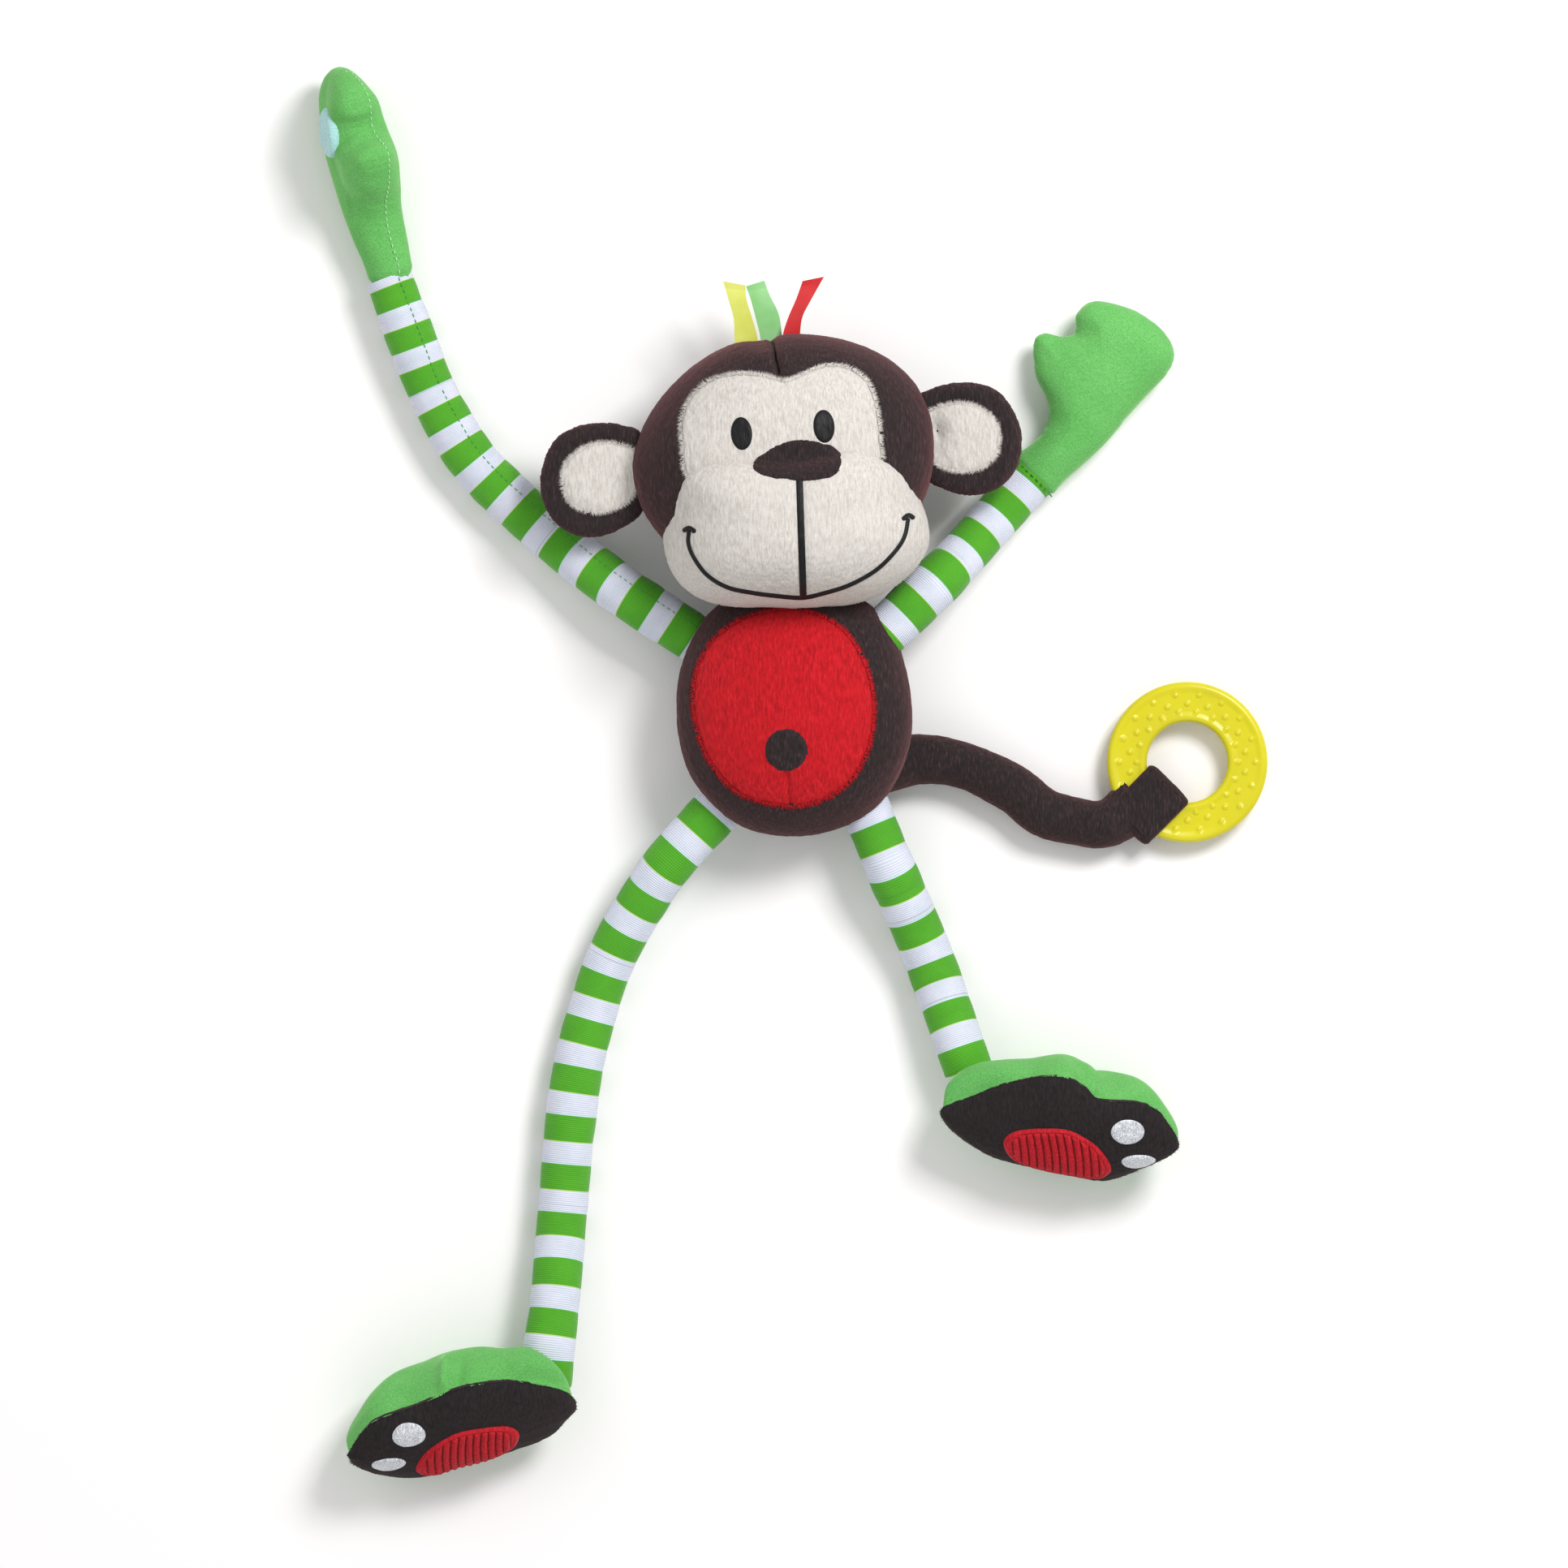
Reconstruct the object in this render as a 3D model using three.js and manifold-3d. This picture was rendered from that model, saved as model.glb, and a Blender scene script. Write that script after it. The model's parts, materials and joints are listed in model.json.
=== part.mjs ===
// Soft plush monkey with pull-through striped arms and legs and a teether ring on its tail.
// Millimetres, +Z up. The toy lies on its back: head towards +Y, face towards +Z, its own left
// towards +X. The origin is on the ground, under the middle of the torso.
import * as THREE from "three";
import { mergeVertices } from "three/addons/utils/BufferGeometryUtils.js";
import Module from "manifold-3d";

const wasm = await Module();
wasm.setup();

// ---- driving dimensions ----
const CLOTH = 1.8; // thickness of a plush cover
const GAP = 0.4; // clearance between neighbouring pieces
const PATCH = 1.2; // thickness of an applied patch
const STITCH = 0.8; // height of raised embroidery

const FAR = 80; // reaches past any one piece, for cutting bodies

const TORSO = { halfWidth: 49.5, halfDepth: 31.8, z: 31, up: 55, down: 49.5, mouthY: 50.5 };
const HEAD = {
  x: -6.5,
  y: 110.8,
  halfWidth: 61.5,
  halfHeight: 51.3,
  halfDepth: 42,
  tilt: 4.5,
  mouthY: -46.5,
};
const MUZZLE = { x: 4, y: -32.3, z: 22, halfWidth: 55.6, halfHeight: 32, halfDepth: 33 };
const NOSE = { x: 7.6, y: -5, z: 44.5, halfWidth: 19.5, halfHeight: 8.6, halfDepth: 7 };
const EYE = { halfWidth: 4.5, halfHeight: 7 };
const EAR_HALF_DEPTH = 7;
const RATTLE = { y: 10, outer: 13, wall: 1.4, beadR: 3, beadY: 4.2, beadZ: -6.3 };
const SQUEAKER = { x: 0, y: -12, z: 44, radius: 13, waist: 1.2, bevel: 2, wall: 1.2, height: 10, holeR: 3 };
const NECK = { x: -1.5, y: 57.3, z: 36, halfWidth: 10, halfDepth: 4.5, length: 16 };

const RIBBON = { length: 22.5, halfDepth: 2.2, thick: 0.7, width: 9.5 };

const SLEEVE_R = 10.3;
const TUNNEL_R = 11.1;
const TUNNEL_DEPTH = 33; // how far a sleeve tunnel runs into the torso
const LINK_GAP = 1.5; // from a bend to the end of each link beside it
const HIGH = 22; // height of a sleeve's axis where it leaves the torso
const LOW = 10.6; // height of a sleeve's axis where it lies on the ground

const TAIL_R = 9.5;
const RING = { x: 165.7, y: -18.5, z: 8.3, outer: 34, inner: 17, halfThick: 4 };

const LOOP = { clear: 1.3, wall: 3, width: 18, turn: 45 }; // turn: from the loop to the ring's middle

const HAND_HALF_DEPTH = 12.8;
const PALM_Z = 14.2; // the flat outer face of a palm patch, below the middle of the hand
const FOOT = { halfLength: 48.5, halfWidth: 24.5, soleRise: 10.5, depth: 34 };

const SIDES = 12; // facets round a sleeve
const COLS = 22; // facets round a stuffed form
const ROWS = 12;

// ---- materials ----
const cloth = (color, roughness = 0.95) => new THREE.MeshStandardMaterial({ color, roughness, metalness: 0 });
const brownPlush = cloth(0x40282a);
const creamPlush = cloth(0xe0dad4);
const redPlush = cloth(0xce242b);
const blackThread = cloth(0x1d1b1d, 0.7);
const stripedKnit = cloth(0x8fc878, 0.9);
const greenVelour = cloth(0x6cc062);
const blueLoopPile = cloth(0xabcece);
const redRibbed = cloth(0xa02a33, 0.8);
const silverThread = cloth(0xc9ccd4, 0.45);
const fibreFill = cloth(0xf2f2ee);
const yellowRibbon = cloth(0xe2e778, 0.5);
const greenRibbon = cloth(0xa1d298, 0.5);
const redRibbon = cloth(0xd73737, 0.5);
const yellowPlastic = cloth(0xe9e217, 0.35);
const clearPlastic = cloth(0xdfe6ea, 0.3);
const bluePlastic = cloth(0x3f7fc4, 0.3);

const rad = THREE.MathUtils.degToRad;

// ---- solids from closed three.js geometry ----
function toSolid(geometry) {
  const bare = new THREE.BufferGeometry();
  bare.setAttribute("position", geometry.getAttribute("position").clone());
  if (geometry.index) bare.setIndex(geometry.index.clone());
  const merged = mergeVertices(bare, 1e-4);
  const position = merged.getAttribute("position");
  const index = merged.index.array;
  const faces = [];
  let volume = 0;
  const [a, b, c] = [new THREE.Vector3(), new THREE.Vector3(), new THREE.Vector3()];
  for (let i = 0; i < index.length; i += 3) {
    const [i0, i1, i2] = [index[i], index[i + 1], index[i + 2]];
    if (i0 === i1 || i1 === i2 || i0 === i2) continue;
    a.fromBufferAttribute(position, i0);
    b.fromBufferAttribute(position, i1);
    c.fromBufferAttribute(position, i2);
    volume += a.dot(b.clone().cross(c));
    faces.push(i0, i1, i2);
  }
  if (volume < 0) faces.reverse();
  const vertProperties = new Float32Array(position.array);
  return new wasm.Manifold(new wasm.Mesh({ numProp: 3, vertProperties, triVerts: new Uint32Array(faces) }));
}

function toGeometry(solid) {
  const mesh = solid.getMesh();
  const geometry = new THREE.BufferGeometry();
  geometry.setAttribute("position", new THREE.BufferAttribute(mesh.vertProperties, 3));
  geometry.setIndex(new THREE.BufferAttribute(mesh.triVerts, 1));
  geometry.computeVertexNormals();
  return geometry;
}

function piece(name, solid, material) {
  const mesh = new THREE.Mesh(toGeometry(solid), material);
  mesh.name = name;
  return mesh;
}

const ellipsoid = (rx, ry, rz, x = 0, y = 0, z = 0, cols = COLS, rows = ROWS) =>
  toSolid(new THREE.SphereGeometry(1, cols, rows).scale(rx, ry, rz).translate(x, y, z));

const box = (x0, x1, y0, y1, z0, z1) =>
  toSolid(
    new THREE.BoxGeometry(x1 - x0, y1 - y0, z1 - z0).translate((x0 + x1) / 2, (y0 + y1) / 2, (z0 + z1) / 2),
  );

// A straight round bar from one point to another.
function bar(from, to, radius, sides = 14) {
  const along = to.clone().sub(from);
  const upright = new THREE.Vector3(0, 1, 0);
  const turn = new THREE.Quaternion().setFromUnitVectors(upright, along.clone().normalize());
  const middle = from.clone().add(to).multiplyScalar(0.5);
  const geometry = new THREE.CylinderGeometry(radius, radius, along.length(), sides);
  return toSolid(geometry.applyQuaternion(turn).translate(middle.x, middle.y, middle.z));
}

// A closed outline as a smooth curve through its corner points.
function outline(points, count = 28) {
  const corners = points.map(([x, y]) => new THREE.Vector3(x, y, 0));
  return new THREE.CatmullRomCurve3(corners, true).getSpacedPoints(count).slice(0, count);
}

function prism(points, z0, z1, count = 28) {
  const shape = new THREE.Shape(outline(points, count).map((p) => new THREE.Vector2(p.x, p.y)));
  const geometry = new THREE.ExtrudeGeometry(shape, { depth: z1 - z0, bevelEnabled: false });
  return toSolid(geometry.translate(0, 0, z0));
}

function ovalPoints(x, y, rx, ry) {
  const corners = 8;
  return Array.from({ length: corners }, (_, i) => {
    const angle = (i / corners) * 2 * Math.PI;
    return [x + rx * Math.cos(angle), y + ry * Math.sin(angle)];
  });
}

// A circle of points across the X axis.
function ringAcross(x, radius, sides) {
  return Array.from({ length: sides }, (_, k) => {
    const angle = (k / sides) * 2 * Math.PI;
    return new THREE.Vector3(x, radius * Math.cos(angle), radius * Math.sin(angle));
  });
}

// A quarter circle of points about a centre, from one angle in degrees onwards.
function cornerArc(x, y, radius, from, stops) {
  return stops.map((stop) => {
    const angle = rad(from + stop);
    return new THREE.Vector2(x + radius * Math.cos(angle), y + radius * Math.sin(angle));
  });
}

// Rings of points joined into one closed skin, with a fan over each end.
function loft(rings) {
  const count = rings[0].length;
  const centre = (ring) => ring.reduce((sum, p) => sum.add(p), new THREE.Vector3()).divideScalar(count);
  const points = [...rings.flat(), centre(rings[0]), centre(rings.at(-1))];
  const faces = [];
  const at = (r, i) => r * count + (i % count);
  for (let i = 0; i < count; i++) {
    for (let r = 0; r + 1 < rings.length; r++) {
      faces.push(at(r, i), at(r, i + 1), at(r + 1, i + 1), at(r, i), at(r + 1, i + 1), at(r + 1, i));
    }
    faces.push(points.length - 2, at(0, i + 1), at(0, i));
    faces.push(points.length - 1, at(rings.length - 1, i), at(rings.length - 1, i + 1));
  }
  return toSolid(new THREE.BufferGeometry().setFromPoints(points).setIndex(faces));
}

// A stuffed cushion: full in the middle and thin along its outline. The rings close on a centre point.
function pillow(points, centre, halfDepth, count = 28) {
  const rim = outline(points, count);
  const middle = new THREE.Vector3(centre[0], centre[1], 0);
  const levels = [0.35, 0.7, 0.9, 1];
  const ring = (share, side) =>
    rim.map((p) => {
      const at = middle.clone().lerp(p, share);
      at.z = side * halfDepth * Math.pow(1 - Math.pow(share, 3), 0.5);
      return at;
    });
  const front = levels.map((share) => ring(share, 1));
  const back = levels.slice(0, -1).map((share) => ring(share, -1));
  return loft([...front, ...back.reverse()]);
}

// ---- sleeves: round links along one curve, with a rounded end at every bend ----
function limbCurve(points) {
  return new THREE.CatmullRomCurve3(points.map((p) => new THREE.Vector3(...p)), false, "centripetal");
}

// One link from control point first to control point last of a curve.
function link(curve, first, last, radius, sides = SIDES) {
  const spans = curve.points.length - 1;
  const steps = 60;
  const line = [];
  for (let i = 0; i <= steps; i++) line.push(curve.getPoint((first + ((last - first) * i) / steps) / spans));
  const length = [0];
  for (let i = 1; i <= steps; i++) length.push(length[i - 1] + line[i].distanceTo(line[i - 1]));
  const total = length[steps];
  const cap = radius * 0.9;
  const bay = 13;
  const stations = [15, 40, 65].map((angle) => [
    LINK_GAP + cap * (1 - Math.cos(rad(angle))),
    radius * Math.sin(rad(angle)),
  ]);
  const farEnd = stations.map(([s, r]) => [total - s, r]).reverse();
  const straight = total - 2 * (LINK_GAP + cap);
  const bays = Math.max(1, Math.round(straight / bay));
  for (let i = 0; i <= bays; i++) stations.push([LINK_GAP + cap + (straight * i) / bays, radius]);
  stations.push(...farEnd);
  const up = new THREE.Vector3(0, 0, 1);
  const rings = stations.map(([s, r]) => {
    let i = 1;
    while (i < steps && length[i] < s) i++;
    const share = (s - length[i - 1]) / (length[i] - length[i - 1]);
    const centre = line[i - 1].clone().lerp(line[i], share);
    const ahead = line[i].clone().sub(line[i - 1]).normalize();
    const side = ahead.clone().cross(up).normalize();
    const over = side.clone().cross(ahead);
    return Array.from({ length: sides }, (_, k) => {
      const angle = (k / sides) * 2 * Math.PI;
      const [acrossBy, overBy] = [r * Math.cos(angle), r * Math.sin(angle)];
      return centre.clone().addScaledVector(side, acrossBy).addScaledVector(over, overBy);
    });
  });
  return loft(rings);
}

// Sleeve centrelines. A root is straight, because it slides through its port, and it starts inside
// the torso. The rest of the sleeve hangs from the first bend down to the ground.
const ARM_RIGHT = {
  port: [-42, 33.5, HIGH],
  root: limbCurve([[-27.8, 24.2, HIGH], [-67, 50, HIGH]]),
  curve: limbCurve([
    [-67, 50, HIGH], // shoulder bend
    [-89.6, 66, 16],
    [-107.4, 81.5, LOW],
    [-134.5, 107.5, LOW], // elbow bend
    [-151.5, 135, LOW],
    [-166.3, 173, 12], // wrist bend
  ]),
};
const ARM_LEFT = {
  port: [39, 37, HIGH],
  root: limbCurve([[26.9, 25.1, HIGH], [59, 56.6, HIGH]]),
  curve: limbCurve([
    [59, 56.6, HIGH], // elbow bend
    [75, 73.5, 16],
    [91.3, 92, 12], // wrist bend
  ]),
};
const LEG_RIGHT = {
  port: [-32, -37.6, HIGH],
  root: limbCurve([[-20.6, -25, HIGH], [-50.7, -58.4, HIGH]]),
  curve: limbCurve([
    [-50.7, -58.4, HIGH], // hip bend
    [-66.7, -80.4, 16],
    [-80.2, -107.7, LOW],
    [-91.5, -148.8, LOW], // knee bend
    [-96.6, -190, LOW],
    [-99.2, -231, LOW],
    [-103, -262, 14], // ankle bend
  ]),
};
const LEG_LEFT = {
  port: [28.4, -34.2, HIGH],
  root: limbCurve([[21.9, -18.5, HIGH], [39.1, -60.1, HIGH]]),
  curve: limbCurve([
    [39.1, -60.1, HIGH], // hip bend
    [48.6, -82, 15],
    [57.6, -103.5, LOW], // knee bend
    [69, -135.8, 15], // ankle bend
  ]),
};
const LIMBS = [ARM_RIGHT, ARM_LEFT, LEG_RIGHT, LEG_LEFT];

// The passage a sleeve slides through, from outside the torso to the end of its tunnel.
function tunnel(limb) {
  const port = new THREE.Vector3(...limb.port);
  const inward = limb.root.points[0].clone().sub(limb.root.points[1]).normalize();
  const overshoot = 20;
  const outside = port.clone().addScaledVector(inward, -overshoot);
  return bar(outside, port.clone().addScaledVector(inward, TUNNEL_DEPTH), TUNNEL_R);
}

// ---- torso ----
const TORSO_ROUNDNESS = { up: 0.8, down: 0.95 }; // below 1 is fuller than an ellipse

// An egg about the Y axis, flattened front to back. shrink moves its whole surface inwards.
function torsoEgg(shrink) {
  const profile = [];
  for (let i = 0; i <= ROWS; i++) {
    const angle = -Math.PI / 2 + (Math.PI * i) / ROWS;
    const power = angle > 0 ? TORSO_ROUNDNESS.up : TORSO_ROUNDNESS.down;
    const reach = (angle > 0 ? TORSO.up : TORSO.down) - shrink;
    const radius = (TORSO.halfWidth - shrink) * Math.pow(Math.max(0, Math.cos(angle)), power);
    const height = Math.sign(angle) * reach * Math.pow(Math.abs(Math.sin(angle)), power);
    const end = i === 0 || i === ROWS;
    profile.push(new THREE.Vector2(end ? 0 : radius, height));
  }
  const flatten = (TORSO.halfDepth - shrink) / (TORSO.halfWidth - shrink);
  return toSolid(new THREE.LatheGeometry(profile, COLS).scale(1, 1, flatten).translate(0, 0, TORSO.z));
}

function torsoPatch(points, low, high) {
  const skin = torsoEgg(-high).subtract(torsoEgg(-low));
  return skin.intersect(prism(points, TORSO.z, TORSO.z + FAR));
}

const TUMMY = [
  [0, 45.5],
  [20, 40],
  [33, 22],
  [38, 2],
  [35, -17],
  [22, -32],
  [0, -38.5],
  [-20, -33],
  [-34, -19],
  [-40, 0],
  [-36, 21],
  [-20, 40],
];

function squeaker() {
  const { radius, waist, bevel, wall, height, holeR } = SQUEAKER;
  const profile = [
    [0, 0],
    [radius - bevel, 0],
    [radius, bevel],
    [radius - waist, height / 2],
    [radius, height - bevel],
    [radius - bevel, height],
    [holeR, height],
    [holeR, height - wall],
    [radius - bevel - wall, height - wall],
    [radius - waist - wall, height / 2],
    [radius - bevel - wall, wall],
    [0, wall],
  ].map(([r, z]) => new THREE.Vector2(r, z));
  const bellows = toSolid(new THREE.LatheGeometry(profile, 14).rotateX(Math.PI / 2));
  const [reedDepth, reedRise] = [4, 0.8];
  const reedFoot = new THREE.Vector3(0, 0, height - reedDepth);
  const reed = bar(reedFoot, new THREE.Vector3(0, 0, height + reedRise), holeR - GAP, 12);
  const group = new THREE.Group();
  group.position.set(SQUEAKER.x, SQUEAKER.y, SQUEAKER.z);
  group.add(piece("squeaker_bellows", bellows, clearPlastic), piece("squeaker_reed", reed, bluePlastic));
  return group;
}

function torso() {
  const group = new THREE.Group();
  const fillingStop = 4; // the filling ends this far inside the torso's mouth
  const above = (y) => box(-FAR, FAR, y, FAR, 0, FAR);
  const belowGround = box(-FAR, FAR, -FAR, FAR, -10, 0);
  let cover = torsoEgg(0).subtract(torsoEgg(CLOTH)).subtract(above(TORSO.mouthY)).subtract(belowGround);
  let filling = torsoEgg(CLOTH + GAP).subtract(above(TORSO.mouthY - fillingStop));
  for (const limb of LIMBS) {
    cover = cover.subtract(tunnel(limb));
    filling = filling.subtract(tunnel(limb));
  }
  const pocketFloor = new THREE.Vector3(SQUEAKER.x, SQUEAKER.y, SQUEAKER.z - GAP);
  const pocketTop = new THREE.Vector3(SQUEAKER.x, SQUEAKER.y, FAR);
  filling = filling.subtract(bar(pocketFloor, pocketTop, SQUEAKER.radius + GAP));
  const panel = torsoPatch(TUMMY, GAP, GAP + PATCH);
  const button = torsoPatch(ovalPoints(-3.5, -13.5, 9, 9), 2 * GAP + PATCH, 2 * GAP + 2 * PATCH);
  group.add(
    piece("torso_cover", cover, brownPlush),
    piece("torso_filling", filling, fibreFill),
    piece("tummy_panel", panel, redPlush),
    piece("belly_button", button, brownPlush),
    squeaker(),
  );
  return group;
}

// ---- head, in its own frame: origin at the middle of the skull ----
const skull = (grow) => ellipsoid(HEAD.halfWidth + grow, HEAD.halfHeight + grow, HEAD.halfDepth + grow);
const muzzle = (grow) =>
  ellipsoid(
    MUZZLE.halfWidth + grow,
    MUZZLE.halfHeight + grow,
    MUZZLE.halfDepth + grow,
    MUZZLE.x,
    MUZZLE.y,
    MUZZLE.z,
  );

const facePatch = (points, low, high, count) =>
  skull(high).subtract(skull(low)).intersect(prism(points, 0, FAR, count));

function rattle() {
  const { y, outer, wall, beadR, beadY, beadZ } = RATTLE;
  const arc = (radius, from, to) =>
    [0, 1, 2, 3, 4].map((i) => {
      const angle = from + ((to - from) * i) / 4;
      return new THREE.Vector2(radius * Math.cos(angle), radius * Math.sin(angle));
    });
  const cup = [...arc(outer, -Math.PI / 2, 0), ...arc(outer - wall, 0, -Math.PI / 2)];
  cup[0].x = 0;
  cup.at(-1).x = 0;
  const half = (turn, z) =>
    toSolid(new THREE.LatheGeometry([...cup, cup[0].clone()], 14).rotateX(turn).translate(0, 0, z));
  const bead = (side) => ellipsoid(beadR, beadR, beadR, 0, side * beadY, beadZ, 8, 6);
  const group = new THREE.Group();
  group.position.set(0, y, 0);
  group.add(
    piece("rattle_case_lower", half(Math.PI / 2, -GAP / 2), clearPlastic),
    piece("rattle_case_upper", half(-Math.PI / 2, GAP / 2), bluePlastic),
    piece("rattle_bead_1", bead(1), bluePlastic),
    piece("rattle_bead_2", bead(-1), bluePlastic),
  );
  return group;
}

// The left ear's outline and its lining's, in the head's frame.
const EAR_EDGE = [
  [60.4, 18],
  [71, 22.8],
  [84, 23.3],
  [95, 18.5],
  [101, 8],
  [102.4, -3],
  [98.5, -14.5],
  [90, -22],
  [79, -23.5],
  [68, -20],
  [61, -14],
  [63.4, 3],
];
const EAR_LINING = [
  [65.5, 12],
  [75, 15.5],
  [87, 12],
  [94, 3],
  [93, -6],
  [84, -12.5],
  [73, -12],
  [65.5, -8],
];
const RIGHT_EAR_DROP = 5; // the right ear sits lower on the head
const EAR_MIDDLE = [82, 1];

// An ear on the side given by its sign, with a pale lining on its front face.
function ear(side, sign) {
  const drop = sign > 0 ? 0 : RIGHT_EAR_DROP;
  const mirror = (points) => {
    const placed = points.map(([x, y]) => [sign * x, y - drop]);
    return sign > 0 ? placed : placed.reverse();
  };
  const [middle] = mirror([EAR_MIDDLE]);
  const cushion = (grow) => pillow(mirror(EAR_EDGE), middle, EAR_HALF_DEPTH + grow, 24);
  const front = cushion(GAP + PATCH).subtract(cushion(GAP));
  const lining = front.intersect(prism(mirror(EAR_LINING), 0, 20, 20));
  const group = new THREE.Group();
  group.add(
    piece(`ear_${side}_back`, cushion(0), brownPlush),
    piece(`ear_${side}_lining`, lining, creamPlush),
  );
  return group;
}

// A straight column over a flat polygon, centred on z = 0.
function column(polygon, height) {
  const shape = new THREE.Shape(polygon);
  const geometry = new THREE.ExtrudeGeometry(shape, { depth: height, bevelEnabled: false });
  return toSolid(geometry.translate(0, 0, -height / 2));
}

// A folded ribbon loop standing on its sewn end, which is at its own origin, along +Y.
function ribbonLoop() {
  const { length, halfDepth, thick, width } = RIBBON;
  const oval = (inset) =>
    Array.from({ length: 12 }, (_, i) => {
      const angle = (i / 12) * Math.PI * 2;
      return new THREE.Vector2(
        (halfDepth - inset) * Math.sin(angle),
        inset + (length / 2 - inset) * (1 - Math.cos(angle)),
      );
    });
  const strap = column(oval(0), width).subtract(column(oval(thick), width + 2));
  return strap.rotate([0, 90, 0]);
}

function ribbon(name, x, y, z, lean, material) {
  const mesh = piece(name, ribbonLoop(), material);
  mesh.position.set(x, y, z);
  mesh.rotation.z = THREE.MathUtils.degToRad(lean);
  return mesh;
}

// The mouth: a line down the muzzle and a wide smile, raised along the muzzle's skin.
function mouth() {
  const [reach, drop, smileY] = [45, 29, -29];
  const [halfSmile, halfLine] = [0.9, 1.4];
  const x = MUZZLE.x + 2;
  const arc = (grow, from, to) =>
    Array.from({ length: 13 }, (_, i) => {
      const t = from + ((to - from) * i) / 12;
      return new THREE.Vector2(x + (reach + grow) * Math.sin(t), smileY - (drop + grow) * Math.cos(t));
    });
  const [left, right] = [-Math.PI / 2, Math.PI / 2];
  const shape = new THREE.Shape([...arc(halfSmile, left, right), ...arc(-halfSmile, right, left)]);
  const smile = new THREE.ExtrudeGeometry(shape, { depth: FAR, bevelEnabled: false });
  const line = box(x - halfLine, x + halfLine, smileY - drop, -14.3, MUZZLE.z, FAR);
  const cut = toSolid(smile.translate(0, 0, MUZZLE.z)).add(line);
  return muzzle(GAP + STITCH).subtract(muzzle(GAP)).intersect(cut);
}

const FACE_MASK = [
  [3.5, 30.5],
  [14, 35],
  [28, 36],
  [40, 25],
  [45, 8],
  [44, -6],
  [40, -16],
  [3, -16],
  [-34, -16],
  [-38, -6],
  [-40.5, 8],
  [-38, 24],
  [-28, 34.5],
  [-12, 35],
];

function head() {
  const group = new THREE.Group();
  group.position.set(HEAD.x, HEAD.y, HEAD.halfDepth);
  group.rotation.z = rad(HEAD.tilt);
  const fillingStop = 3; // the filling ends this far inside the head's mouth
  const below = (y) => box(-FAR, FAR, -FAR, y, -FAR, FAR);
  const cover = skull(0).subtract(skull(-CLOTH)).subtract(below(HEAD.mouthY));
  const pocketR = RATTLE.outer + 2 * GAP;
  const pocketFront = new THREE.Vector3(0, RATTLE.y, RATTLE.outer + 1);
  const pocket = bar(pocketFront, new THREE.Vector3(0, RATTLE.y, -FAR), pocketR);
  const filling = skull(-CLOTH - GAP).subtract(below(HEAD.mouthY + fillingStop)).subtract(pocket);
  const muzzleBack = 4; // the muzzle's flat back, in front of the middle of the skull
  const snout = muzzle(0)
    .subtract(skull(GAP + PATCH + GAP))
    .subtract(box(-FAR, FAR, -FAR, 0, -FAR, muzzleBack));
  const nose = ellipsoid(NOSE.halfWidth, NOSE.halfHeight, NOSE.halfDepth, NOSE.x, NOSE.y, NOSE.z, 16, 10)
    .subtract(skull(2 * GAP + PATCH))
    .subtract(muzzle(GAP));
  const face = facePatch(FACE_MASK, GAP, GAP + PATCH).subtract(muzzle(GAP));
  const eye = (x) => {
    const oval = ovalPoints(x, 9.4, EYE.halfWidth, EYE.halfHeight);
    return facePatch(oval, 2 * GAP + PATCH, 2 * GAP + PATCH + STITCH, 16);
  };
  group.add(
    piece("head_cover", cover, brownPlush),
    piece("head_filling", filling, fibreFill),
    piece("face_panel", face, creamPlush),
    piece("muzzle", snout, creamPlush),
    piece("nose", nose, brownPlush),
    piece("mouth_embroidery", mouth(), blackThread),
    piece("eye_right_embroidery", eye(-15.4), blackThread),
    piece("eye_left_embroidery", eye(19.6), blackThread),
    rattle(),
    ear("right", -1),
    ear("left", 1),
    ribbon("ribbon_yellow", -10.8, 51.7, 3.6, 6, yellowRibbon),
    ribbon("ribbon_green", 1.2, 52.6, -3.6, 12, greenRibbon),
    ribbon("ribbon_red", 10.6, 52.6, 0, -24, redRibbon),
  );
  return group;
}

function neck() {
  const geometry = new THREE.CylinderGeometry(1, 1, NECK.length, 20);
  geometry.scale(NECK.halfWidth, 1, NECK.halfDepth).translate(NECK.x, NECK.y, NECK.z);
  return piece("neck_tape", toSolid(geometry), brownPlush);
}

// ---- hands: mittens lying along +X from their wrist, thumb towards +Y, palm towards -Z ----
const MITTEN = [
  [0, -9.6],
  [27, -11.8],
  [54, -9.5],
  [70, -9.6],
  [80, -6],
  [84, 2],
  [83, 18],
  [75, 31.5],
  [66, 33.5],
  [57, 29],
  [50, 37.5],
  [43, 38.5],
  [33, 28.6],
  [26.6, 18],
  [15.7, 10.5],
  [0, 9.6],
];
const WRIST = [
  [-10.4, 2.6],
  [-9.2, 6.2],
  [-5, 9],
  [0, 9.8],
  [14, 9.6],
  [26, 7.5],
  [34, 3],
];
const MITTEN_MIDDLE = [42, 4];
const PALM = { x: 60, y: 10, radius: 10.7 };

// place puts the hand's group at its wrist. stretch lengthens the mitten.
function hand(side, stretch, place) {
  const mitten = MITTEN.map(([x, y]) => [x * stretch, y]);
  const cushion = (grow) => pillow(mitten, MITTEN_MIDDLE, HAND_HALF_DEPTH + grow, 32);
  const wrist = loft(WRIST.map(([x, radius]) => ringAcross(x, radius, SIDES)));
  const disc = prism(ovalPoints(PALM.x, PALM.y, PALM.radius, PALM.radius), -PALM_Z, 0, 20);
  const group = new THREE.Group();
  group.add(
    piece(`hand_${side}`, cushion(0).add(wrist), greenVelour),
    piece(`palm_patch_${side}`, disc.subtract(cushion(GAP)), blueLoopPile),
  );
  place(group);
  return group;
}

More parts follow.
